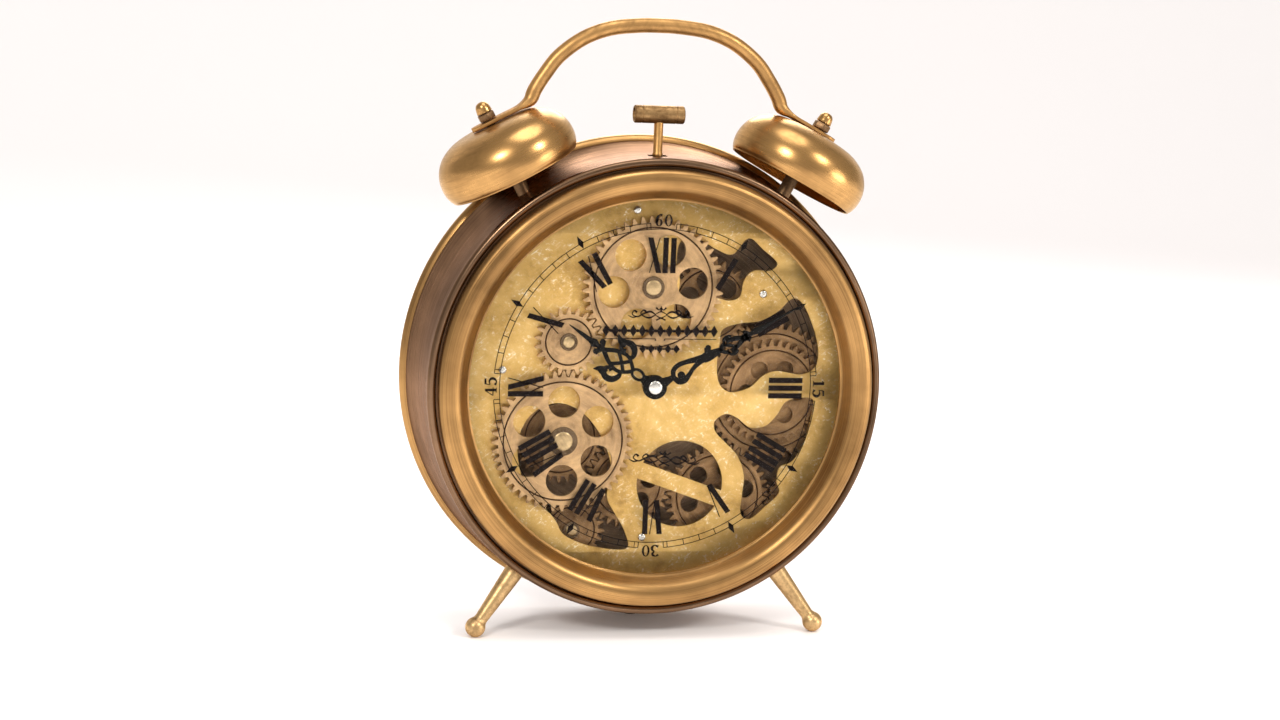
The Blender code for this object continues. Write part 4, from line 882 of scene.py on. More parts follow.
# %% [markdown]
# ## The gear train
# The gears are stamped brass with involute teeth. The fine gears must stand exactly on the frame's gears,
# or their teeth would clash as they turn: their centres are read from the frame's arbors, and the turn of
# each follows from the gear that it meshes with. A ring tool then engraves the circle that runs round
# each gear below its teeth.

# %% Gear places and phases
MODULE = 1.25
BACKLASH = 0.34
PRESSURE = math.radians(20.0)
TEETH = {"right": 48, "right_front": 36, "lower_right": 36, "motor": 12, "top_right": 30, "bottom": 30,
         "bottom_left": 22, "large_rear": 30, "large": 48, "idler": 22, "top": 48}
ARBOR = {"right": "right_arbor", "right_front": "right_arbor", "lower_right": "lower_right_stud",
         "motor": "motor_pinion", "top_right": "top_right_stud", "bottom": "bottom_stud",
         "bottom_left": "bottom_left_stud", "large_rear": "large_arbor", "large": "large_arbor",
         "idler": "idler_stud", "top": "top_stud"}
GEAR_SPOT = {key: middle_of(arbor) for key, arbor in ARBOR.items()}
PHASE = {"right": 0.0, "right_front": 0.05, "large": 0.02}
for driver, driven in (("right", "lower_right"), ("lower_right", "motor"), ("right", "top_right"),
                       ("lower_right", "bottom"), ("bottom", "bottom_left"), ("bottom", "large_rear"),
                       ("large", "idler"), ("idler", "top")):
    line = math.atan2(GEAR_SPOT[driven][1] - GEAR_SPOT[driver][1],
                      GEAR_SPOT[driven][0] - GEAR_SPOT[driver][0])
    PHASE[driven] = (line + math.pi - TEETH[driver] / TEETH[driven] * (PHASE[driver] - line)
                     - math.pi / TEETH[driven])


print("gear places:", len(GEAR_SPOT))

# %% [markdown]
# A tooth's flank is an involute. Its half width is worked out at six radii from root to tip, and the tip
# is narrowed a little, as a stamped tooth is.

# %% Gear teeth and finish
TIP_SHARE = 0.72             # how much of its width a tooth keeps at its tip


def tooth_half_angle(teeth, radius):
    """Half of the angle that an involute tooth covers at a radius."""
    pitch_r = MODULE * teeth / 2
    base_r = pitch_r * math.cos(PRESSURE)
    slope = math.acos(min(1.0, base_r / max(radius, base_r)))
    roll = (math.tan(PRESSURE) - PRESSURE) - (math.tan(slope) - slope)
    return (math.pi * MODULE / 2 - BACKLASH) / (2 * pitch_r) + roll


def gear_outline(teeth, phase):
    pitch_r = MODULE * teeth / 2
    flank = [pitch_r + MODULE * step for step in (-1.25, -0.6, 0.0, 0.5, 0.85, 1.0)]
    outline = []
    for index in range(teeth):
        middle = phase + math.tau * index / teeth
        turns = [(radius, tooth_half_angle(teeth, radius) * (TIP_SHARE if radius == flank[-1] else 1.0))
                 for radius in flank]
        outline += [(radius * math.cos(middle - turn), radius * math.sin(middle - turn)) for radius,
                    turn in turns]
        outline += [(radius * math.cos(middle + turn), radius * math.sin(middle + turn))
                    for radius, turn in reversed(turns)]
    return outline


def gear_finish(key):
    """Gear brass brushed round the gear's own arbor, darker and browner behind the dial as painted shade."""
    x, z = GEAR_SPOT[key]
    in_front = key in ("top", "idler", "large")
    # The gears behind the dial plate get a darker metal and more wash: painted shade cast by the plate.
    metal = (0.68, 0.44, 0.22) if in_front else (0.42, 0.25, 0.115)
    amount = 0.50 if in_front else 0.66
    return washed_metal(key + " gear brass", metal, (0.08, 0.042, 0.022), amount, at(x, 0, z), cloud=75.0,
                        polish=0.38, fineness=420.0, length=2.0, corner=1.4, bump=0.25, metallic=0.8)


GEAR_FINISH = {key: gear_finish(key) for key in TEETH}
print("gear finishes:", len(GEAR_FINISH))

# %% [markdown]
# Each gear is one row of a table. Its holes, where it has them, are six and evenly spaced.

# %% Gears
# frame node, key, body, thickness, bore, engraved circles, hole radius, hole ring, first hole's angle
GEARS = [
    ("top_gear", "top", "top_gear", 1.5, 1.58, (26.2,), 6.9, 17.5, 7.0),
    ("idler_gear", "idler", "idler_gear", 1.5, 1.58, (10.1,), 0.0, 0.0, 0.0),
    ("large_gear", "large", "large_gear", 1.5, 1.6, (26.2,), 7.0, 17.4, 30.0),
    ("large_rear_gear", "large_rear", "large_gear", 1.5, 1.6, (15.4,), 0.0, 0.0, 0.0),
    ("bottom_gear", "bottom", "bottom_gear", 1.5, 1.58, (14.6,), 3.6, 9.6, 10.0),
    ("lower_right_gear", "lower_right", "lower_right_gear", 1.5, 1.58, (18.6,), 4.0, 13.0, 14.0),
    ("right_wheel", "right", "right_wheel", 1.5, 1.6, (26.0,), 0.0, 0.0, 0.0),
    ("right_gear", "right_front", "right_wheel", 1.5, 1.6, (19.0,), 3.9, 11.7, 2.0),
    ("top_right_gear", "top_right", "top_right_gear", 1.5, 1.58, (15.2,), 4.4, 10.2, 42.0),
    ("bottom_left_gear", "bottom_left", "bottom_left_gear", 1.5, 1.58, (10.4,), 0.0, 0.0, 0.0),
    ("motor_pinion", "motor", "motor_pinion", 2.4, 0.0, (), 0.0, 0.0, 0.0)]
GEAR_EDGE = 0.13
ENGRAVER = [(-0.42, 0.1), (0.42, 0.1), (0.22, -0.55), (-0.22, -0.55)]    # across the circle, and up
for frame_node, key, body, thick, bore, circles, hole_r, hole_ring, first in GEARS:
    loops = [gear_outline(TEETH[key], PHASE[key])]
    if bore:
        loops.append(circle(bore, 32))
    if hole_r:
        loops += [circle(hole_r, 40, (hole_ring * math.cos(math.radians(first + 60 * k)),
                                      hole_ring * math.sin(math.radians(first + 60 * k)))) for k in range(6)]
    gear = flat_shape(loops, thick, GEAR_EDGE)
    top = thick / 2
    for radius in circles:
        gear = cut_away(gear, turned([(radius + across, top + up) for across, up in ENGRAVER], 96))
    x, z = GEAR_SPOT[key]
    seat(gear, "cut_" + frame_node, at(x, front_of(frame_node) + thick / 2, z), FACING, GEAR_FINISH[key],
         body,
         [frame_node])
print("gears:", len(GEARS))

# %% [markdown]
# Every gear turns on a shoulder stud, or is pressed on a turning arbor. In front each ends in a low
# domed head with a dark ring round it, where the brown wash settled.

# %% Studs, arbors and screws
stud_dark = washed_metal("stud bronze", (0.22, 0.15, 0.09), (0.04, 0.026, 0.016), 0.6, at(0, 0, 0),
                         polish=0.4)
stud_bright = washed_metal("stud brass", (0.70, 0.52, 0.28), (0.22, 0.14, 0.07), 0.55, at(0, 0, 0),
                           polish=0.30,
                           cloud=300.0)
STUD_ROD_R = 1.5
STUDS = [  # frame node, body, radius of the dark washer, radius of the domed head
    ("top_stud", "case", 4.9, 3.6), ("idler_stud", "case", 3.8, 2.7),
    ("large_arbor", "large_gear", 6.4, 4.4),
    ("right_arbor", "right_wheel", 4.6, 3.4), ("bottom_stud", "case", 3.8, 2.8),
    ("lower_right_stud", "case", 3.8, 2.8), ("top_right_stud", "case", 3.8, 2.8),
    ("bottom_left_stud", "case", 3.8, 2.8)]
for frame_node, body, washer_r, head_r in STUDS:
    x, z = middle_of(frame_node)
    front = front_of(frame_node)
    back_end = (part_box(frame_node)[1].y - BEAD_CENTRE.y) / MM
    stem = [(0.0, front + 0.1), (head_r - 0.3, front + 0.1), (head_r - 0.3, front + 0.5),
            (STUD_ROD_R, front + 0.5), (STUD_ROD_R, back_end), (0.0, back_end)]
    washer = [(head_r - 0.15, front + 0.1), (washer_r - 0.2, front + 0.1), (washer_r, front + 0.3),
              (washer_r, front + 0.5), (head_r - 0.15, front + 0.5)]
    seat(turned(by_depth(stem), 40), frame_node + "_rod", at(x, 0, z), FACING, stud_dark, body,
         [frame_node])
    seat(turned(by_depth(washer), 48), frame_node + "_washer", at(x, 0, z), FACING, stud_dark, body)
    dome = smooth_line([(0.0, front - 0.5), (head_r * 0.5, front - 0.42), (head_r * 0.85, front - 0.2),
                        (head_r - 0.15, front + 0.15)], 3)
    seat(turned(by_depth(dome + [(0.0, front + 0.15)]), 48), frame_node + "_dome", at(x, 0, z), FACING,
         stud_bright, body)

steel = washed_metal("bright steel", (0.80, 0.79, 0.74), (0.35, 0.30, 0.24), 0.25, at(0, 0, 0), polish=0.22,
                     cloud=400.0)
for frame_node in ("upper_left_dial_screw", "upper_right_dial_screw", "lower_left_dial_screw",
                   "lower_right_dial_screw"):
    x, z = middle_of(frame_node)
    front = front_of(frame_node)
    head = smooth_line([(0.0, front), (1.0, front + 0.08), (1.65, front + 0.5), (1.8, front + 1.05)],
                       3) + [(1.0, front + 1.05), (1.0, front + 6.0), (0.0, front + 6.0)]
    screw = turned(by_depth(head), 32)
    start_fresh()
    bpy.ops.mesh.primitive_cube_add(size=1.0, location=(0, 0, -front), rotation=(0, 0, math.radians(40)))
    blade = bpy.context.object
    blade.scale = (5.0, 0.45, 0.8)
    seat(cut_away(screw, blade), frame_node + "_head", at(x, 0, z), FACING, steel, "case",
         [frame_node])
print("studs:", len(STUDS))

# %% [markdown]
# ## Hands
# The hands are pierced and cut from thin black steel. They are drawn with a pen: a stroke is a smooth
# middle line with a width at each of its points, and scrolls, loops and lozenges are all strokes. Each
# stroke becomes a thin plate with a chamfered edge, and one boolean welds the strokes to one hand.

# %% Pen strokes
def stroke(points, widths, cuts=6, weight=1.0):
    """The outline round a smooth middle line whose width changes from point to point."""
    line = smooth_line([(x, y, 0.0) for x, y in points], cuts)
    sizes = smooth_line([(width, 0.0) for width in widths], cuts)
    left, right_side = [], []
    for i, spot in enumerate(line):
        ahead = Vector(line[min(i + 1, len(line) - 1)]) - Vector(line[max(i - 1, 0)])
        normal = Vector((-ahead.y, ahead.x)).normalized() * max(sizes[i][0] * weight, 0.06) / 2
        left.append((spot[0] + normal.x, spot[1] + normal.y))
        right_side.append((spot[0] - normal.x, spot[1] - normal.y))
    return left + right_side[::-1]


def mirrored(points):
    """The same points on the other side of the hand's middle line."""
    return [(-x, y) for x, y in points]


def weld_plates(plates):
    """Unites overlapping plates to one closed mesh."""
    whole = plates[0]
    for plate in plates[1:]:
        unite = whole.modifiers.new("unite", "BOOLEAN")
        unite.operation = "UNION"
        unite.object = plate
        use_only(whole)
        bpy.ops.object.modifier_apply(modifier="unite")
        bpy.data.objects.remove(plate)
    return whole


black_enamel = speckled("black hand enamel", {"Scale": 900.0, "Detail": 3.0},
                        ((0.002, 0.002, 0.002), (0.008, 0.007, 0.006)), (0.30, 0.50),
                        (900.0, 3.0, 0.2, 0.00005), Specular_IOR_Level=0.12)
print("finish:", black_enamel.name)

# %% [markdown]
# The hour hand opens into one leaf-shaped loop, then into a lattice of two crossing strands between two
# scrolls, and closes in a small cross before its spear. The minute hand carries one long drop with a ball
# in it, a cross, and a second small lattice before a long spear. Both are drawn pointing up.

# %% Hour hand
HAND_THICK = 0.7
HAND_EDGE = 0.1
HAND_WEIGHT = 1.42           # makes every stroke of the hands a little bolder
HOUR_DEGREES = -55.0
HOUR_FRONT = 5.0             # depth of the hand's front face


def hand_turn(degrees):
    """Turns a hand that points up clockwise from twelve."""
    return (math.radians(90.0), math.radians(degrees), 0.0)


def plate(outline, holes=()):
    return flat_shape([outline] + list(holes), HAND_THICK, HAND_EDGE)


def pen_plates(rows, flip=list):
    """One plate for each stroke of a table of points and widths, as drawn or mirrored."""
    return [plate(stroke(flip(points), widths, weight=HAND_WEIGHT)) for points, widths in rows]


HOUR_STEM = [([(0, 4.6), (0, 6.6)], [3.4, 2.4]), ([(0, 11.6), (0, 13.2)], [1.9, 2.0])]
HOUR_SCROLLS = [
    ([(0.2, 12.2), (2.0, 14.2), (3.7, 17.0), (3.9, 20.0), (2.6, 24.0), (0.3, 27.8)],
     [1.2, 1.15, 1.15, 1.2, 1.3, 1.5]),
    ([(-2.9, 15.4), (-0.9, 17.4), (1.1, 19.6), (3.1, 22.3)], [1.1, 1.1, 1.1, 1.1]),
    ([(3.4, 16.6), (5.4, 15.9), (7.9, 17.2), (9.0, 19.8), (8.0, 22.4), (5.9, 22.9), (4.7, 21.4),
      (5.2, 19.9)],
     [1.2, 1.5, 1.9, 2.0, 1.7, 1.3, 1.2, 1.6]),
    ([(7.6, 21.4), (7.5, 23.4), (7.9, 25.2), (9.3, 27.0)], [2.2, 2.6, 1.6, 0.2]),
    ([(0.0, 29.5), (1.6, 30.0), (2.9, 30.9)], [2.0, 1.6, 2.1])]
HOUR_SPEAR = [([(0, 26.8), (0, 28.6), (0, 31.4), (0, 33.4), (0, 36.0), (0, 40.0), (0, 47.0)],
               [2.2, 1.7, 1.5, 2.6, 1.5, 1.2, 0.25])]
hour_plates = [plate(circle(5.3, 48), [circle(1.45, 32)])]
hour_plates.append(plate(oval(2.6, 3.55, 32, (0.0, 9.3)), [oval(1.35, 2.3, 32, (0.0, 9.3))]))
hour_plates += pen_plates(HOUR_STEM)
for flip in (list, mirrored):
    hour_plates += pen_plates(HOUR_SCROLLS, flip)
    hour_plates.append(plate(circle(1.1, 20, flip([(2.7, 30.8)])[0])))
hour = weld_plates(hour_plates + pen_plates(HOUR_SPEAR))
seat(hour, "pierced_hour_hand", at(0, HOUR_FRONT + HAND_THICK / 2, 0), hand_turn(HOUR_DEGREES),
     black_enamel, "hour_hand", ["hour_hand"])
pipe = turned(by_depth([(1.4, HOUR_FRONT + 0.2), (2.4, HOUR_FRONT + 0.2), (2.4, 12.0), (1.4, 12.0)]), 32)
seat(pipe, "hour_pipe", at(0, 0, 0), FACING, black_enamel, "hour_hand")
print("hour hand:", len(hour.data.polygons), "faces")

# %% [markdown]
# The minute hand is drawn in the same way. Its drop is not symmetrical: the ball sits in its right half.

# %% Minute hand
MINUTE_DEGREES = 60.0
MINUTE_FRONT = 3.4
MINUTE_DROP = [
    ([(0.2, 9.2), (-2.6, 10.4), (-3.7, 13.4), (-3.2, 17.2), (-2.0, 21.4), (-1.0, 25.4)],
     [1.4, 1.5, 1.5, 1.5, 1.9, 2.2]),
    ([(0.2, 9.2), (2.7, 10.4), (3.4, 12.9), (2.4, 15.8), (0.9, 18.6), (-0.2, 22.2), (-0.5, 25.4)],
     [1.4, 2.0, 2.1, 1.4, 1.3, 1.7, 2.0])]
MINUTE_CROSS = [
    ([(0.9, 12.6), (2.6, 11.6)], [1.4, 1.6]), ([(-0.7, 24.4), (-0.6, 27.5), (-0.3, 33.4)], [2.8, 3.2, 1.6]),
    ([(-3.9, 28.3), (-2.4, 27.3), (-0.6, 26.6), (1.2, 26.2)], [2.2, 1.8, 2.6, 2.2])]
MINUTE_SCROLLS = [
    ([(0.0, 32.8), (1.8, 34.8), (2.3, 37.8), (1.5, 41.4), (0.1, 44.4)], [1.2, 1.2, 1.3, 1.5, 1.5]),
    ([(2.0, 36.0), (3.5, 36.6), (3.8, 38.4), (2.9, 39.6)], [1.3, 1.4, 1.4, 1.5]),
    ([(0.0, 45.4), (1.2, 46.0), (2.3, 46.9)], [1.8, 1.4, 1.6])]
MINUTE_SPEAR = [
    ([(-1.7, 35.2), (0.0, 37.6), (1.7, 40.2)], [1.0, 1.0, 1.0]),
    ([(0, 43.4), (0, 46.0), (0, 48.5), (0, 51.0), (0, 56.0), (0, 64.0), (0, 73.5)],
     [2.0, 2.4, 1.4, 2.2, 1.3, 0.9, 0.2])]
minute_plates = [plate(circle(5.2, 48))] + pen_plates([([(0, 4.4), (0, 7.4), (0, 9.8)], [3.2, 2.0, 1.9])])
minute_plates += pen_plates(MINUTE_DROP) + [plate(circle(1.7, 28, (0.9, 12.6)))]
minute_plates += pen_plates(MINUTE_CROSS) + [plate(circle(1.3, 20, (-3.9, 28.6)))]
for flip in (list, mirrored):
    minute_plates += pen_plates(MINUTE_SCROLLS, flip)
minute = weld_plates(minute_plates + pen_plates(MINUTE_SPEAR))
seat(minute, "pierced_minute_hand", at(0, MINUTE_FRONT + HAND_THICK / 2, 0), hand_turn(MINUTE_DEGREES),
     black_enamel, "minute_hand", ["minute_hand"])
print("minute hand:", len(minute.data.polygons), "faces")

# %% [markdown]
# The minute hand's arbor runs through the hour hand's pipe, and a domed nut holds the minute hand.

# %% Hand arbor and nut
arbor = turned(by_depth([(0.0, MINUTE_FRONT + 0.3), (1.3, MINUTE_FRONT + 0.3), (1.3, 21.6), (0.0, 21.6)]), 32)
seat(arbor, "minute_arbor", at(0, 0, 0), FACING, black_enamel, "minute_hand")
nut_outline = smooth_line([(0.0, 2.52), (1.3, 2.56), (2.3, 2.72), (2.9, 3.0), (3.0, 3.34)], 3)
seat(turned(by_depth(nut_outline + [(0.0, 3.34)]), 40), "hand_cap", at(0, 0, 0), FACING, steel, "minute_hand",
     ["hand_nut"])
print("hands at", HOUR_DEGREES, "and", MINUTE_DEGREES, "degrees")

# %% [markdown]
# ## The printed dial
# The numerals are printed on a clear disc that stands in front of the gears, so the gears can be seen
# between them. The print is drawn as thin plates of ink on the disc's front. Round letters are pen
# strokes again: thick down, thin across. The words of the dial are left out: a row of small lozenges
# and a ruled line with a gap in its middle take their place, with a plain scroll over and under them.

# %% Numeral disc and ink
ink = speckled("printing ink", {"Scale": 520.0, "Detail": 4.0, "Roughness": 0.7},
               ((0.003, 0.002, 0.002), (0.012, 0.007, 0.006)), (0.35, 0.60), Specular_IOR_Level=0.08)
INK_THICK = 0.06
PRINT_SHIFT = (1.5, -0.5)    # the print sits a little off the case's axis
print_front = front_of("numeral_disc") - INK_THICK / 2 - 0.01
printed = []


def print_shape(loops, turn=0.0, offset=(0.0, 0.0)):
    """Adds an inked outline to the dial, first moved and then turned clockwise round the print's middle."""
    cosine, sine = math.cos(turn), math.sin(turn)
    placed = []
    for loop in loops:
        moved = [(x + offset[0], y + offset[1]) for x, y in loop]
        placed.append([(x * cosine + y * sine, y * cosine - x * sine) for x, y in moved])
    printed.append(flat_shape(placed, INK_THICK))


# %% [markdown]
# A Roman numeral is a row of thick bars and hairlines whose tops point away from the middle. Each letter
# is given the width that it takes, and the row is centred on its hour.

# %% Roman numerals
ROMAN = ("XII", "I", "II", "III", "IIII", "V", "VI", "VII", "VIII", "IX", "X", "XI")
NUMERAL_INNER = 50.2
NUMERAL_OUTER = 65.6
BAR = 2.4
HAIR = 0.46
LETTER_WIDTH = {"I": 3.45, "V": 5.9, "X": 6.2}


def slanted(x0, x1, width):
    """A straight stroke from the inner end at x0 to the outer end at x1, cut flush with both circles."""
    half = width / 2
    return [(x0 - half, NUMERAL_INNER), (x0 + half, NUMERAL_INNER), (x1 + half, NUMERAL_OUTER),
            (x1 - half, NUMERAL_OUTER)]


def letter_strokes(letter, x):
    if letter == "I":
        return [slanted(x, x, BAR)]
    if letter == "V":
        return [slanted(x - 0.1, x - 1.9, BAR), slanted(x + 0.7, x + 2.4, HAIR)]
    return [slanted(x + 2.0, x - 2.0, BAR), slanted(x - 2.1, x + 2.1, HAIR)]


for hour_index, numeral in enumerate(ROMAN):
    row = sum(LETTER_WIDTH[letter] for letter in numeral)
    cursor = -row / 2
    for letter in numeral:
        middle = cursor + LETTER_WIDTH[letter] / 2
        for outline in letter_strokes(letter, middle):
            print_shape([outline], math.radians(30.0 * hour_index))
        cursor += LETTER_WIDTH[letter]
print("numerals:", len(ROMAN))

# %% [markdown]
# The minute track is two thin circles with a rung at each minute. It opens at the quarters, where the
# minutes are written, and a lozenge marks every other hour.

# %% Minute track
TRACK_INNER = 69.3
TRACK_OUTER = 71.9
TRACK_LINE = 0.36
TRACK_GAP = math.radians(4.6)


def arc_band(radius, start, end, width):
    """A thin band along a circle between two clockwise angles from twelve."""
    count = max(4, int((end - start) / math.radians(1.5)))
    angles = [start + (end - start) * i / count for i in range(count + 1)]
    outer = [((radius + width / 2) * math.sin(a), (radius + width / 2) * math.cos(a)) for a in angles]
    inner = [((radius - width / 2) * math.sin(a), (radius - width / 2) * math.cos(a)) for a in angles]
    return outer + inner[::-1]


print_shape([circle(TRACK_INNER + TRACK_LINE / 2, 240), circle(TRACK_INNER - TRACK_LINE / 2, 240)])
for quarter in range(4):
    start = math.radians(90.0 * quarter) + TRACK_GAP
    end = math.radians(90.0 * (quarter + 1)) - TRACK_GAP
    print_shape([arc_band(TRACK_OUTER, start, end, TRACK_LINE)])
    for angle in (start, end):
        rung = stroke([(0, TRACK_INNER), (0, TRACK_OUTER)], [TRACK_LINE, TRACK_LINE], 1)
        print_shape([rung], angle)
for minute_index in range(60):
    if minute_index % 15 == 0:
        continue
    angle = math.radians(6.0 * minute_index)
    if minute_index % 5 == 0:
        lozenge = [(0.0, TRACK_INNER + 0.1), (1.25, 72.2), (0.0, 75.6), (-1.25, 72.2)]
        print_shape([lozenge], angle)
    else:
        print_shape([stroke([(0, TRACK_INNER), (0, TRACK_OUTER)], [TRACK_LINE, TRACK_LINE], 1)], angle)
print("print pieces so far:", len(printed))

# %% [markdown]
# The quarter figures are small book figures, five millimetres tall.

# %% Quarter figures
FIGURE_BASE = 70.5
FIGURES = {
    "0": [("ring", (0.0, 2.6), 1.75, 2.6, 0.95)],
    "1": [("pen", [(0.0, 0.2), (0.0, 5.1)], [0.95, 0.95]), ("pen", [(-1.2, 0.15), (1.2, 0.15)], [0.3, 0.3]),
          ("pen", [(-1.2, 4.2), (-0.1, 4.9)], [0.25, 0.5])],
    "3": [("pen", [(-1.4, 4.3), (-0.5, 5.0), (0.8, 4.7), (1.1, 3.8), (0.3, 2.9)],
           [0.9, 0.35, 0.7, 0.8, 0.3]),
          ("pen", [(0.2, 2.8), (1.3, 2.2), (1.4, 1.1), (0.3, 0.15), (-1.4, 0.8)],
           [0.3, 0.7, 0.95, 0.4, 0.9])],
    "4": [("pen", [(0.6, 0.2), (0.6, 5.1)], [0.9, 0.8]), ("pen", [(0.4, 5.0), (-1.7, 1.7)], [0.3, 0.3]),
          ("pen", [(-1.8, 1.55), (1.7, 1.55)], [0.35, 0.35]),
          ("pen", [(-0.5, 0.15), (1.6, 0.15)], [0.3, 0.3])],
    "5": [("pen", [(-1.0, 4.85), (1.4, 5.0)], [0.7, 0.6]), ("pen", [(-1.0, 4.9), (-1.2, 2.9)], [0.3, 0.3]),
          ("pen", [(-1.2, 2.8), (0.2, 3.3), (1.4, 2.3), (1.1, 0.9), (0.0, 0.15), (-1.4, 0.8)],
           [0.3, 0.5, 0.9, 0.8, 0.4, 0.9])],
    "6": [("ring", (0.0, 1.6), 1.6, 1.6, 1.05),
          ("pen", [(-1.2, 1.6), (-0.9, 3.6), (0.2, 4.9), (1.3, 4.9)], [0.8, 0.85, 0.5, 0.75])]}

FIGURE_WEIGHT = 1.35         # makes the pen strokes of the figures a little bolder
RING_THIN = 0.35             # wall of a ring at its top and bottom


def print_figure(figure, x, turn):
    for mark in FIGURES[figure]:
        if mark[0] == "ring":
            centre, half_width, half_height, wall = mark[1:]
            outer = oval(half_width, half_height, 28, centre)
            inner = oval(half_width - wall, half_height - RING_THIN, 28, centre)
            print_shape([outer, inner], turn, (x, FIGURE_BASE))
        else:
            print_shape([stroke(mark[1], mark[2], 4, FIGURE_WEIGHT)], turn, (x, FIGURE_BASE))


for quarter, figures in enumerate(("60", "15", "30", "45")):
    print_figure(figures[0], -2.1, math.radians(90.0 * quarter))
    print_figure(figures[1], 2.1, math.radians(90.0 * quarter))
print("figures printed")

# %% [markdown]
# A scroll is symmetrical: an open lens in the middle, and to each side a long curl that ends in a ball,
# with a small leaf on it.

# %% Scrolls, lozenges and rule
def print_scroll(centre, half_width, tilt=0.0):
    """A plain scroll ornament with its middle at a point of the dial."""
    size = half_width / 14.0
    marks = [([(-2.6, 0.0), (0.0, 1.3), (2.6, 0.0)], [0.3, 0.6, 0.3]),
             ([(-2.6, 0.0), (0.0, -1.3), (2.6, 0.0)], [0.3, 0.6, 0.3]),
             ([(-2.2, 3.0), (-0.9, 2.0), (0.0, 2.9), (0.9, 2.0), (2.2, 3.0)], [0.8, 0.5, 0.6, 0.5, 0.8]),
             ([(-2.0, -2.3), (0.0, -1.5), (2.0, -2.3)], [0.7, 0.5, 0.7]),
             ([(0.0, 1.0), (0.0, 3.6)], [0.9, 0.4])]
    for flip in (1, -1):
        marks += [([(flip * x, y) for x, y in curl], widths) for curl, widths in (
            ([(2.4, 0.1), (4.6, 1.3), (7.6, 0.3), (10.0, -0.9), (12.2, 0.1), (11.4, 1.6), (10.2, 0.9)],
             [0.5, 0.9, 0.7, 0.6, 0.5, 0.6, 1.0]),
            ([(2.4, -0.1), (4.8, -1.3), (7.2, -0.7), (8.6, 0.6), (7.4, 1.9), (6.3, 1.1)],
             [0.4, 0.8, 0.6, 0.5, 0.6, 1.0]),
            ([(10.0, -0.8), (12.0, -1.2), (14.0, -0.3)], [0.4, 0.6, 0.2]))]
    for points, widths in marks:
        outline = stroke([(x * size, y * size) for x, y in points], [width * size for width in widths], 5)
        cosine, sine = math.cos(tilt), math.sin(tilt)
        outline = [(x * cosine - y * sine, x * sine + y * cosine) for x, y in outline]
        print_shape([outline], 0.0, centre)


def lozenge_row(middle, width, count, half_high):
    """A row of upright lozenges with a dot between each two."""
    pitch = width / (count - 1)
    for i in range(count):
        x = middle[0] - width / 2 + pitch * i
        print_shape([[(x, middle[1] + half_high), (x + pitch * 0.42, middle[1]), (x, middle[1] - half_high),
                      (x - pitch * 0.42, middle[1])]])
        if i < count - 1:
            print_shape([circle(half_high * 0.26, 14, (x + pitch / 2, middle[1]))])


print_scroll((0.4, 32.0), 14.6)
print_scroll((4.6, -32.2), 16.0, math.radians(-3.0))
lozenge_row((0.4, 24.9), 48.0, 13, 2.7)
lozenge_row((0.4, 17.0), 15.0, 5, 1.9)
for start, end in ((-24.6, -1.6), (2.4, 25.6)):
    print_shape([stroke([(start, 21.4), (end, 21.4)], [0.34, 0.34], 1)])
for x in (-1.6, 2.4):
    print_shape([stroke([(x, 20.6), (x, 21.5)], [0.8, 0.3], 1)])

dial_print = join(printed)
seat(dial_print, "dial_print", at(PRINT_SHIFT[0], print_front, PRINT_SHIFT[1]), FACING, ink, "case")
print("dial print:", len(dial_print.data.polygons), "faces")

# %% [markdown]
# ## Glass
# The front glass and the numeral disc are both clear. A pane that is mostly transparent lets light and
# shadows through to the gears, and keeps a little of its own shine.

# %% Front glass and numeral disc
def clear_pane(name, tint, alpha, roughness):
    return speckled(name, {"Scale": 30.0, "Detail": 4.0}, gloss=(roughness, roughness + 0.05),
                    Base_Color=tint, Transmission_Weight=1.0, IOR=1.45, Alpha=alpha)


glass_finish = clear_pane("front glass", (0.97, 0.98, 0.97, 1.0), 0.02, 0.01)
disc_finish = clear_pane("clear disc", (0.98, 0.98, 0.96, 1.0), 0.015, 0.02)
glass = turned(by_depth([(0.0, 0.3), (90.3, 0.3), (90.6, 0.6), (90.6, 2.0), (90.3, 2.3), (0.0, 2.3)]),
               ROUND)
seat(glass, "glass_pane", at(0, 0, 0), FACING, glass_finish, "case", ["front_glass"])
disc = turned(by_depth([(4.2, 7.0), (90.4, 7.0), (90.6, 7.2), (90.6, 8.2), (90.4, 8.4), (4.2, 8.4)]), ROUND)
seat(disc, "clear_numeral_disc", at(0, 0, 0), FACING, disc_finish, "case",
     ["numeral_disc"])
for name, front, back_end in (("front_spacer_ring", 2.6, 6.7), ("rear_spacer_ring", 8.7, 12.1)):
    ring = turned(by_depth([(86.5, front + 0.2), (86.7, front), (90.2, front), (90.4, front + 0.2),
                            (90.4, back_end), (86.5, back_end)]), ROUND)
    seat(ring, "turned_" + name, at(0, 0, 0), FACING, case_bronze, "case", [name])
print("panes seated")

# %% [markdown]
# ## Behind the dial and on the back
# The back is plainer: a lacquered cover with a square opening, a moulded quartz movement with its
# battery and knob, and the small switch of the gear motor. Plastic is mixed once, with the fine
# grain that a spark-eroded mould leaves on it.

# %% Moulded plastic and the battery's jacket
def moulded(name, colour, polish):
    dusty = [value * 1.6 + 0.01 for value in colour]
    return speckled(name, {"Scale": 60.0, "Detail": 4.0}, (colour, dusty), (polish, polish + 0.2),
                    (1600.0, 2.0, 0.3, 0.00006))


black_plastic = moulded("black plastic", (0.018, 0.018, 0.018), 0.42)
jacket_green = moulded("cell jacket", (0.02, 0.10, 0.055), 0.22)
print("plastic:", black_plastic.name)

# %% [markdown]
# The movement's housing is a moulded block. An open battery bay and five short grooves on each side are
# cut into its back. A threaded bush joins it to the dial plate, and a knurled knob sets the time.

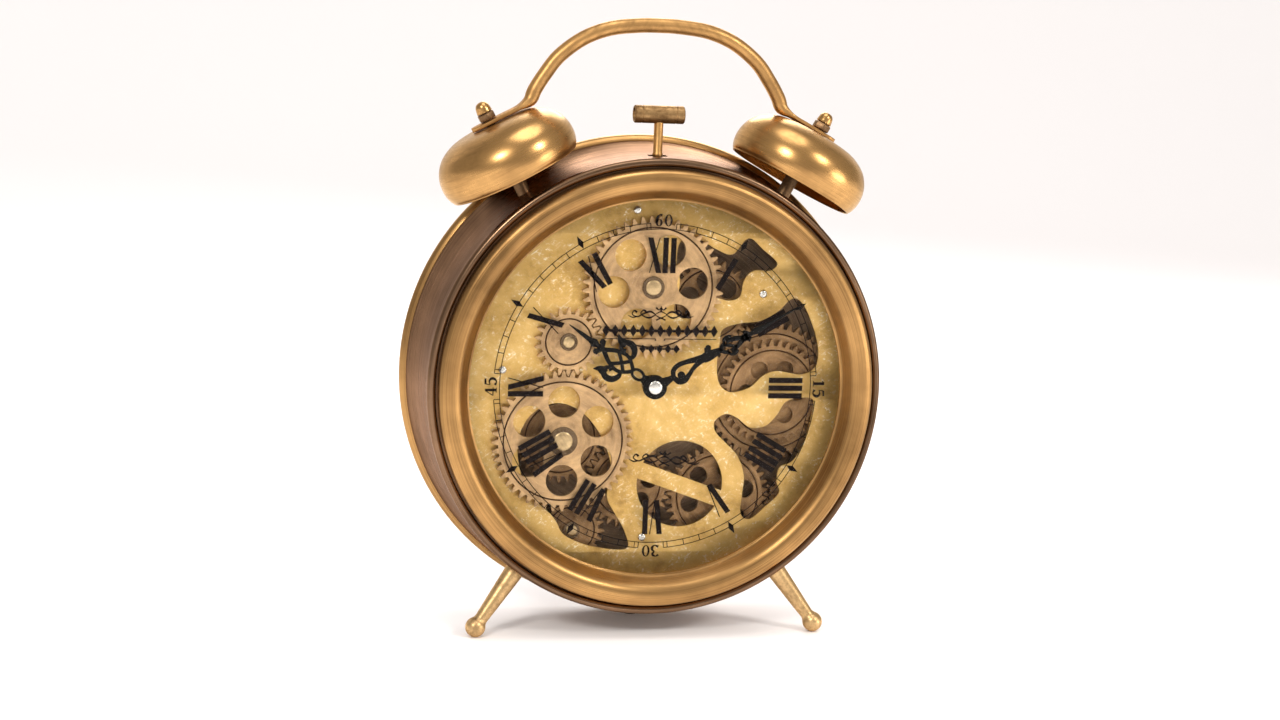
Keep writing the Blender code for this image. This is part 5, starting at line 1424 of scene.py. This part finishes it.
# %% Movement, knob and battery
MOVEMENT_SIDE = 56.0
MOVEMENT_FRONT = 25.9
MOVEMENT_BACK = 42.6
BAY = (51.2, 15.4, 19.2)      # the battery's bay, whose depth reaches past the back
BAY_HEIGHT = -17.7           # of its middle, from the axis
BAY_FLOOR = MOVEMENT_BACK - 15.2
CELL_R = 7.0
GROOVE = (18.0, 0.7, 1.2)

def soft_block(size, centre, soften, segments=3):
    """A moulded block with rounded edges, in millimetres, its depth along local Z."""
    start_fresh()
    bpy.ops.mesh.primitive_cube_add(size=1.0, location=(0, 0, 0))
    block = bpy.context.object
    block.scale = size
    block.location = centre
    bpy.ops.object.transform_apply(location=True, rotation=True, scale=True)
    bpy.ops.object.mode_set(mode="EDIT")
    bpy.ops.mesh.select_all(action="SELECT")
    bpy.ops.mesh.bevel(offset=soften, segments=segments)
    bpy.ops.object.mode_set(mode="OBJECT")
    return block


middle_depth = (MOVEMENT_FRONT + MOVEMENT_BACK) / 2
housing = soft_block((MOVEMENT_SIDE, MOVEMENT_SIDE, MOVEMENT_BACK - MOVEMENT_FRONT), (0, 0, -middle_depth),
                     1.2)
housing = cut_away(housing, soft_block(BAY, (0, BAY_HEIGHT, -(BAY_FLOOR + BAY[2] / 2)), 0.4, 2))
housing = cut_away(housing, turned([(0.0, -36.6), (2.1, -36.6), (2.1, -46.0), (0.0, -46.0)], 32))
for row in range(5):
    for x in (-15.0, 15.0):
        housing = cut_away(housing, soft_block(GROOVE, (x, 20.0 - 2.2 * row, -MOVEMENT_BACK), 0.15, 1))
seat(housing, "movement_housing", at(0, 0, 0), FACING, black_plastic, "case",
     ["movement_case"])
bush = turned(by_depth([(2.48, 6.6), (3.5, 6.6), (3.9, 7.0), (3.9, 26.2), (2.48, 26.2)]), 48)
seat(bush, "threaded_bush", at(0, 0, 0), FACING, steel, "case")

KNOB_HEIGHT = 8.0
grip = []
for tooth in range(28):
    for turn_share, radius in ((0.0, 6.0), (0.25, 6.5), (0.5, 6.5), (0.75, 6.0)):
        angle = math.tau * (tooth + turn_share) / 28
        grip.append((radius * math.cos(angle), radius * math.sin(angle)))
knob = flat_shape([grip], 5.0, 0.25)
knob.location.z = -(43.4 + 2.5)
use_only(knob)
bpy.ops.object.transform_apply(location=True, rotation=False, scale=False)
knob = cut_away(knob, turned([(0.0, -48.0), (3.6, -48.0), (4.2, -48.6), (0.0, -48.6)], 48))
seat(knob, "knurled_set_knob", at(0, 0, KNOB_HEIGHT), FACING, black_plastic, "time_set_knob",
     ["time_set_knob"])
spindle = turned(by_depth([(0.0, 37.0), (2.0, 37.0), (2.0, 43.6), (0.0, 43.6)]), 32)
seat(spindle, "knob_spindle", at(0, 0, KNOB_HEIGHT), FACING, black_plastic, "time_set_knob")

cell_depth = BAY_FLOOR + 0.3 + CELL_R
cell_outline = [(0.0, 25.2), (2.3, 25.2), (2.6, 24.9), (2.6, 24.0), (5.6, 24.0), (6.2, 23.7), (6.4, 23.0),
                (6.9, 22.8), (7.0, 22.4), (7.0, 8.0),
                (6.98, 7.9), (7.0, 7.8), (7.0, -23.4), (6.8, -23.8), (6.2, -24.0), (5.8, -23.7),
                (0.0, -23.7)]
seat(turned(cell_outline, 64), "jacketed_cell", at(0, cell_depth, BAY_HEIGHT), SIDEWAYS, jacket_green,
     "case",
     ["battery"])
print("movement seated")

# %% [markdown]
# The cover is a thin disc with one square opening for the movement and a small one for the switch. The
# rear foot is a plain peg with a rounded edge at the floor.

# %% Back cover and rear foot
SWITCH_SPOT = middle_of("motor_pinion")
COVER_R = 101.2
COVER_OPENING = 28.8         # half of the square's side
PEG_R = 4.0
PEG_DEPTH = 38.0


def rectangle(half_width, half_height, centre=(0.0, 0.0)):
    return [(centre[0] + across * half_width, centre[1] + up * half_height)
            for across, up in ((-1, -1), (1, -1), (1, 1), (-1, 1))]


cover_loops = [circle(COVER_R, ROUND), rectangle(COVER_OPENING, COVER_OPENING),
               rectangle(7, 3, SWITCH_SPOT)]
cover = flat_shape(cover_loops, 1.2, 0.15)
seat(cover, "lacquered_cover", at(0, front_of("back_cover") + 0.6, 0), FACING, case_bronze, "case",
     ["back_cover"])
peg_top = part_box("rear_foot")[1].z / MM
peg = turned([(0.0, 0.0), (3.3, 0.0), (3.7, 0.25), (PEG_R, 0.8), (PEG_R, peg_top - 5.0),
              (0.0, peg_top - 5.0)], 40)
peg_place = at(0, PEG_DEPTH, 0)
peg_place.z = 0.0
seat(peg, "rear_peg", peg_place, (0, 0, 0), black_plastic, "case", ["rear_foot"])
print("back closed")

# %% [markdown]
# A few frame nodes have the right shape already and sit where they are hardly seen: pillars, the plate
# behind the gears, the hammer's bracket, the motor and its switch. They keep their meshes and only get a
# proper finish.

# %% Finishes for the frame's own pieces
dull_bronze = washed_metal("dull bronze", (0.30, 0.20, 0.12), (0.08, 0.05, 0.03), 0.7, at(0, 0, 0),
                           polish=0.5, metallic=0.6,
                           cloud=40.0)
for name, finish in (("rear_plate", dull_bronze), ("hammer_bracket", dull_bronze),
                     ("motor_case", black_plastic),
                     ("motor_switch", black_plastic), ("upper_left_pillar", stud_dark),
                     ("upper_right_pillar", stud_dark),
                     ("lower_left_pillar", stud_dark), ("lower_right_pillar", stud_dark)):
    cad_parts[name].data.materials.clear()
    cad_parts[name].data.materials.append(finish)
print("shown frame nodes:", [name for name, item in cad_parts.items() if not item.hide_render])
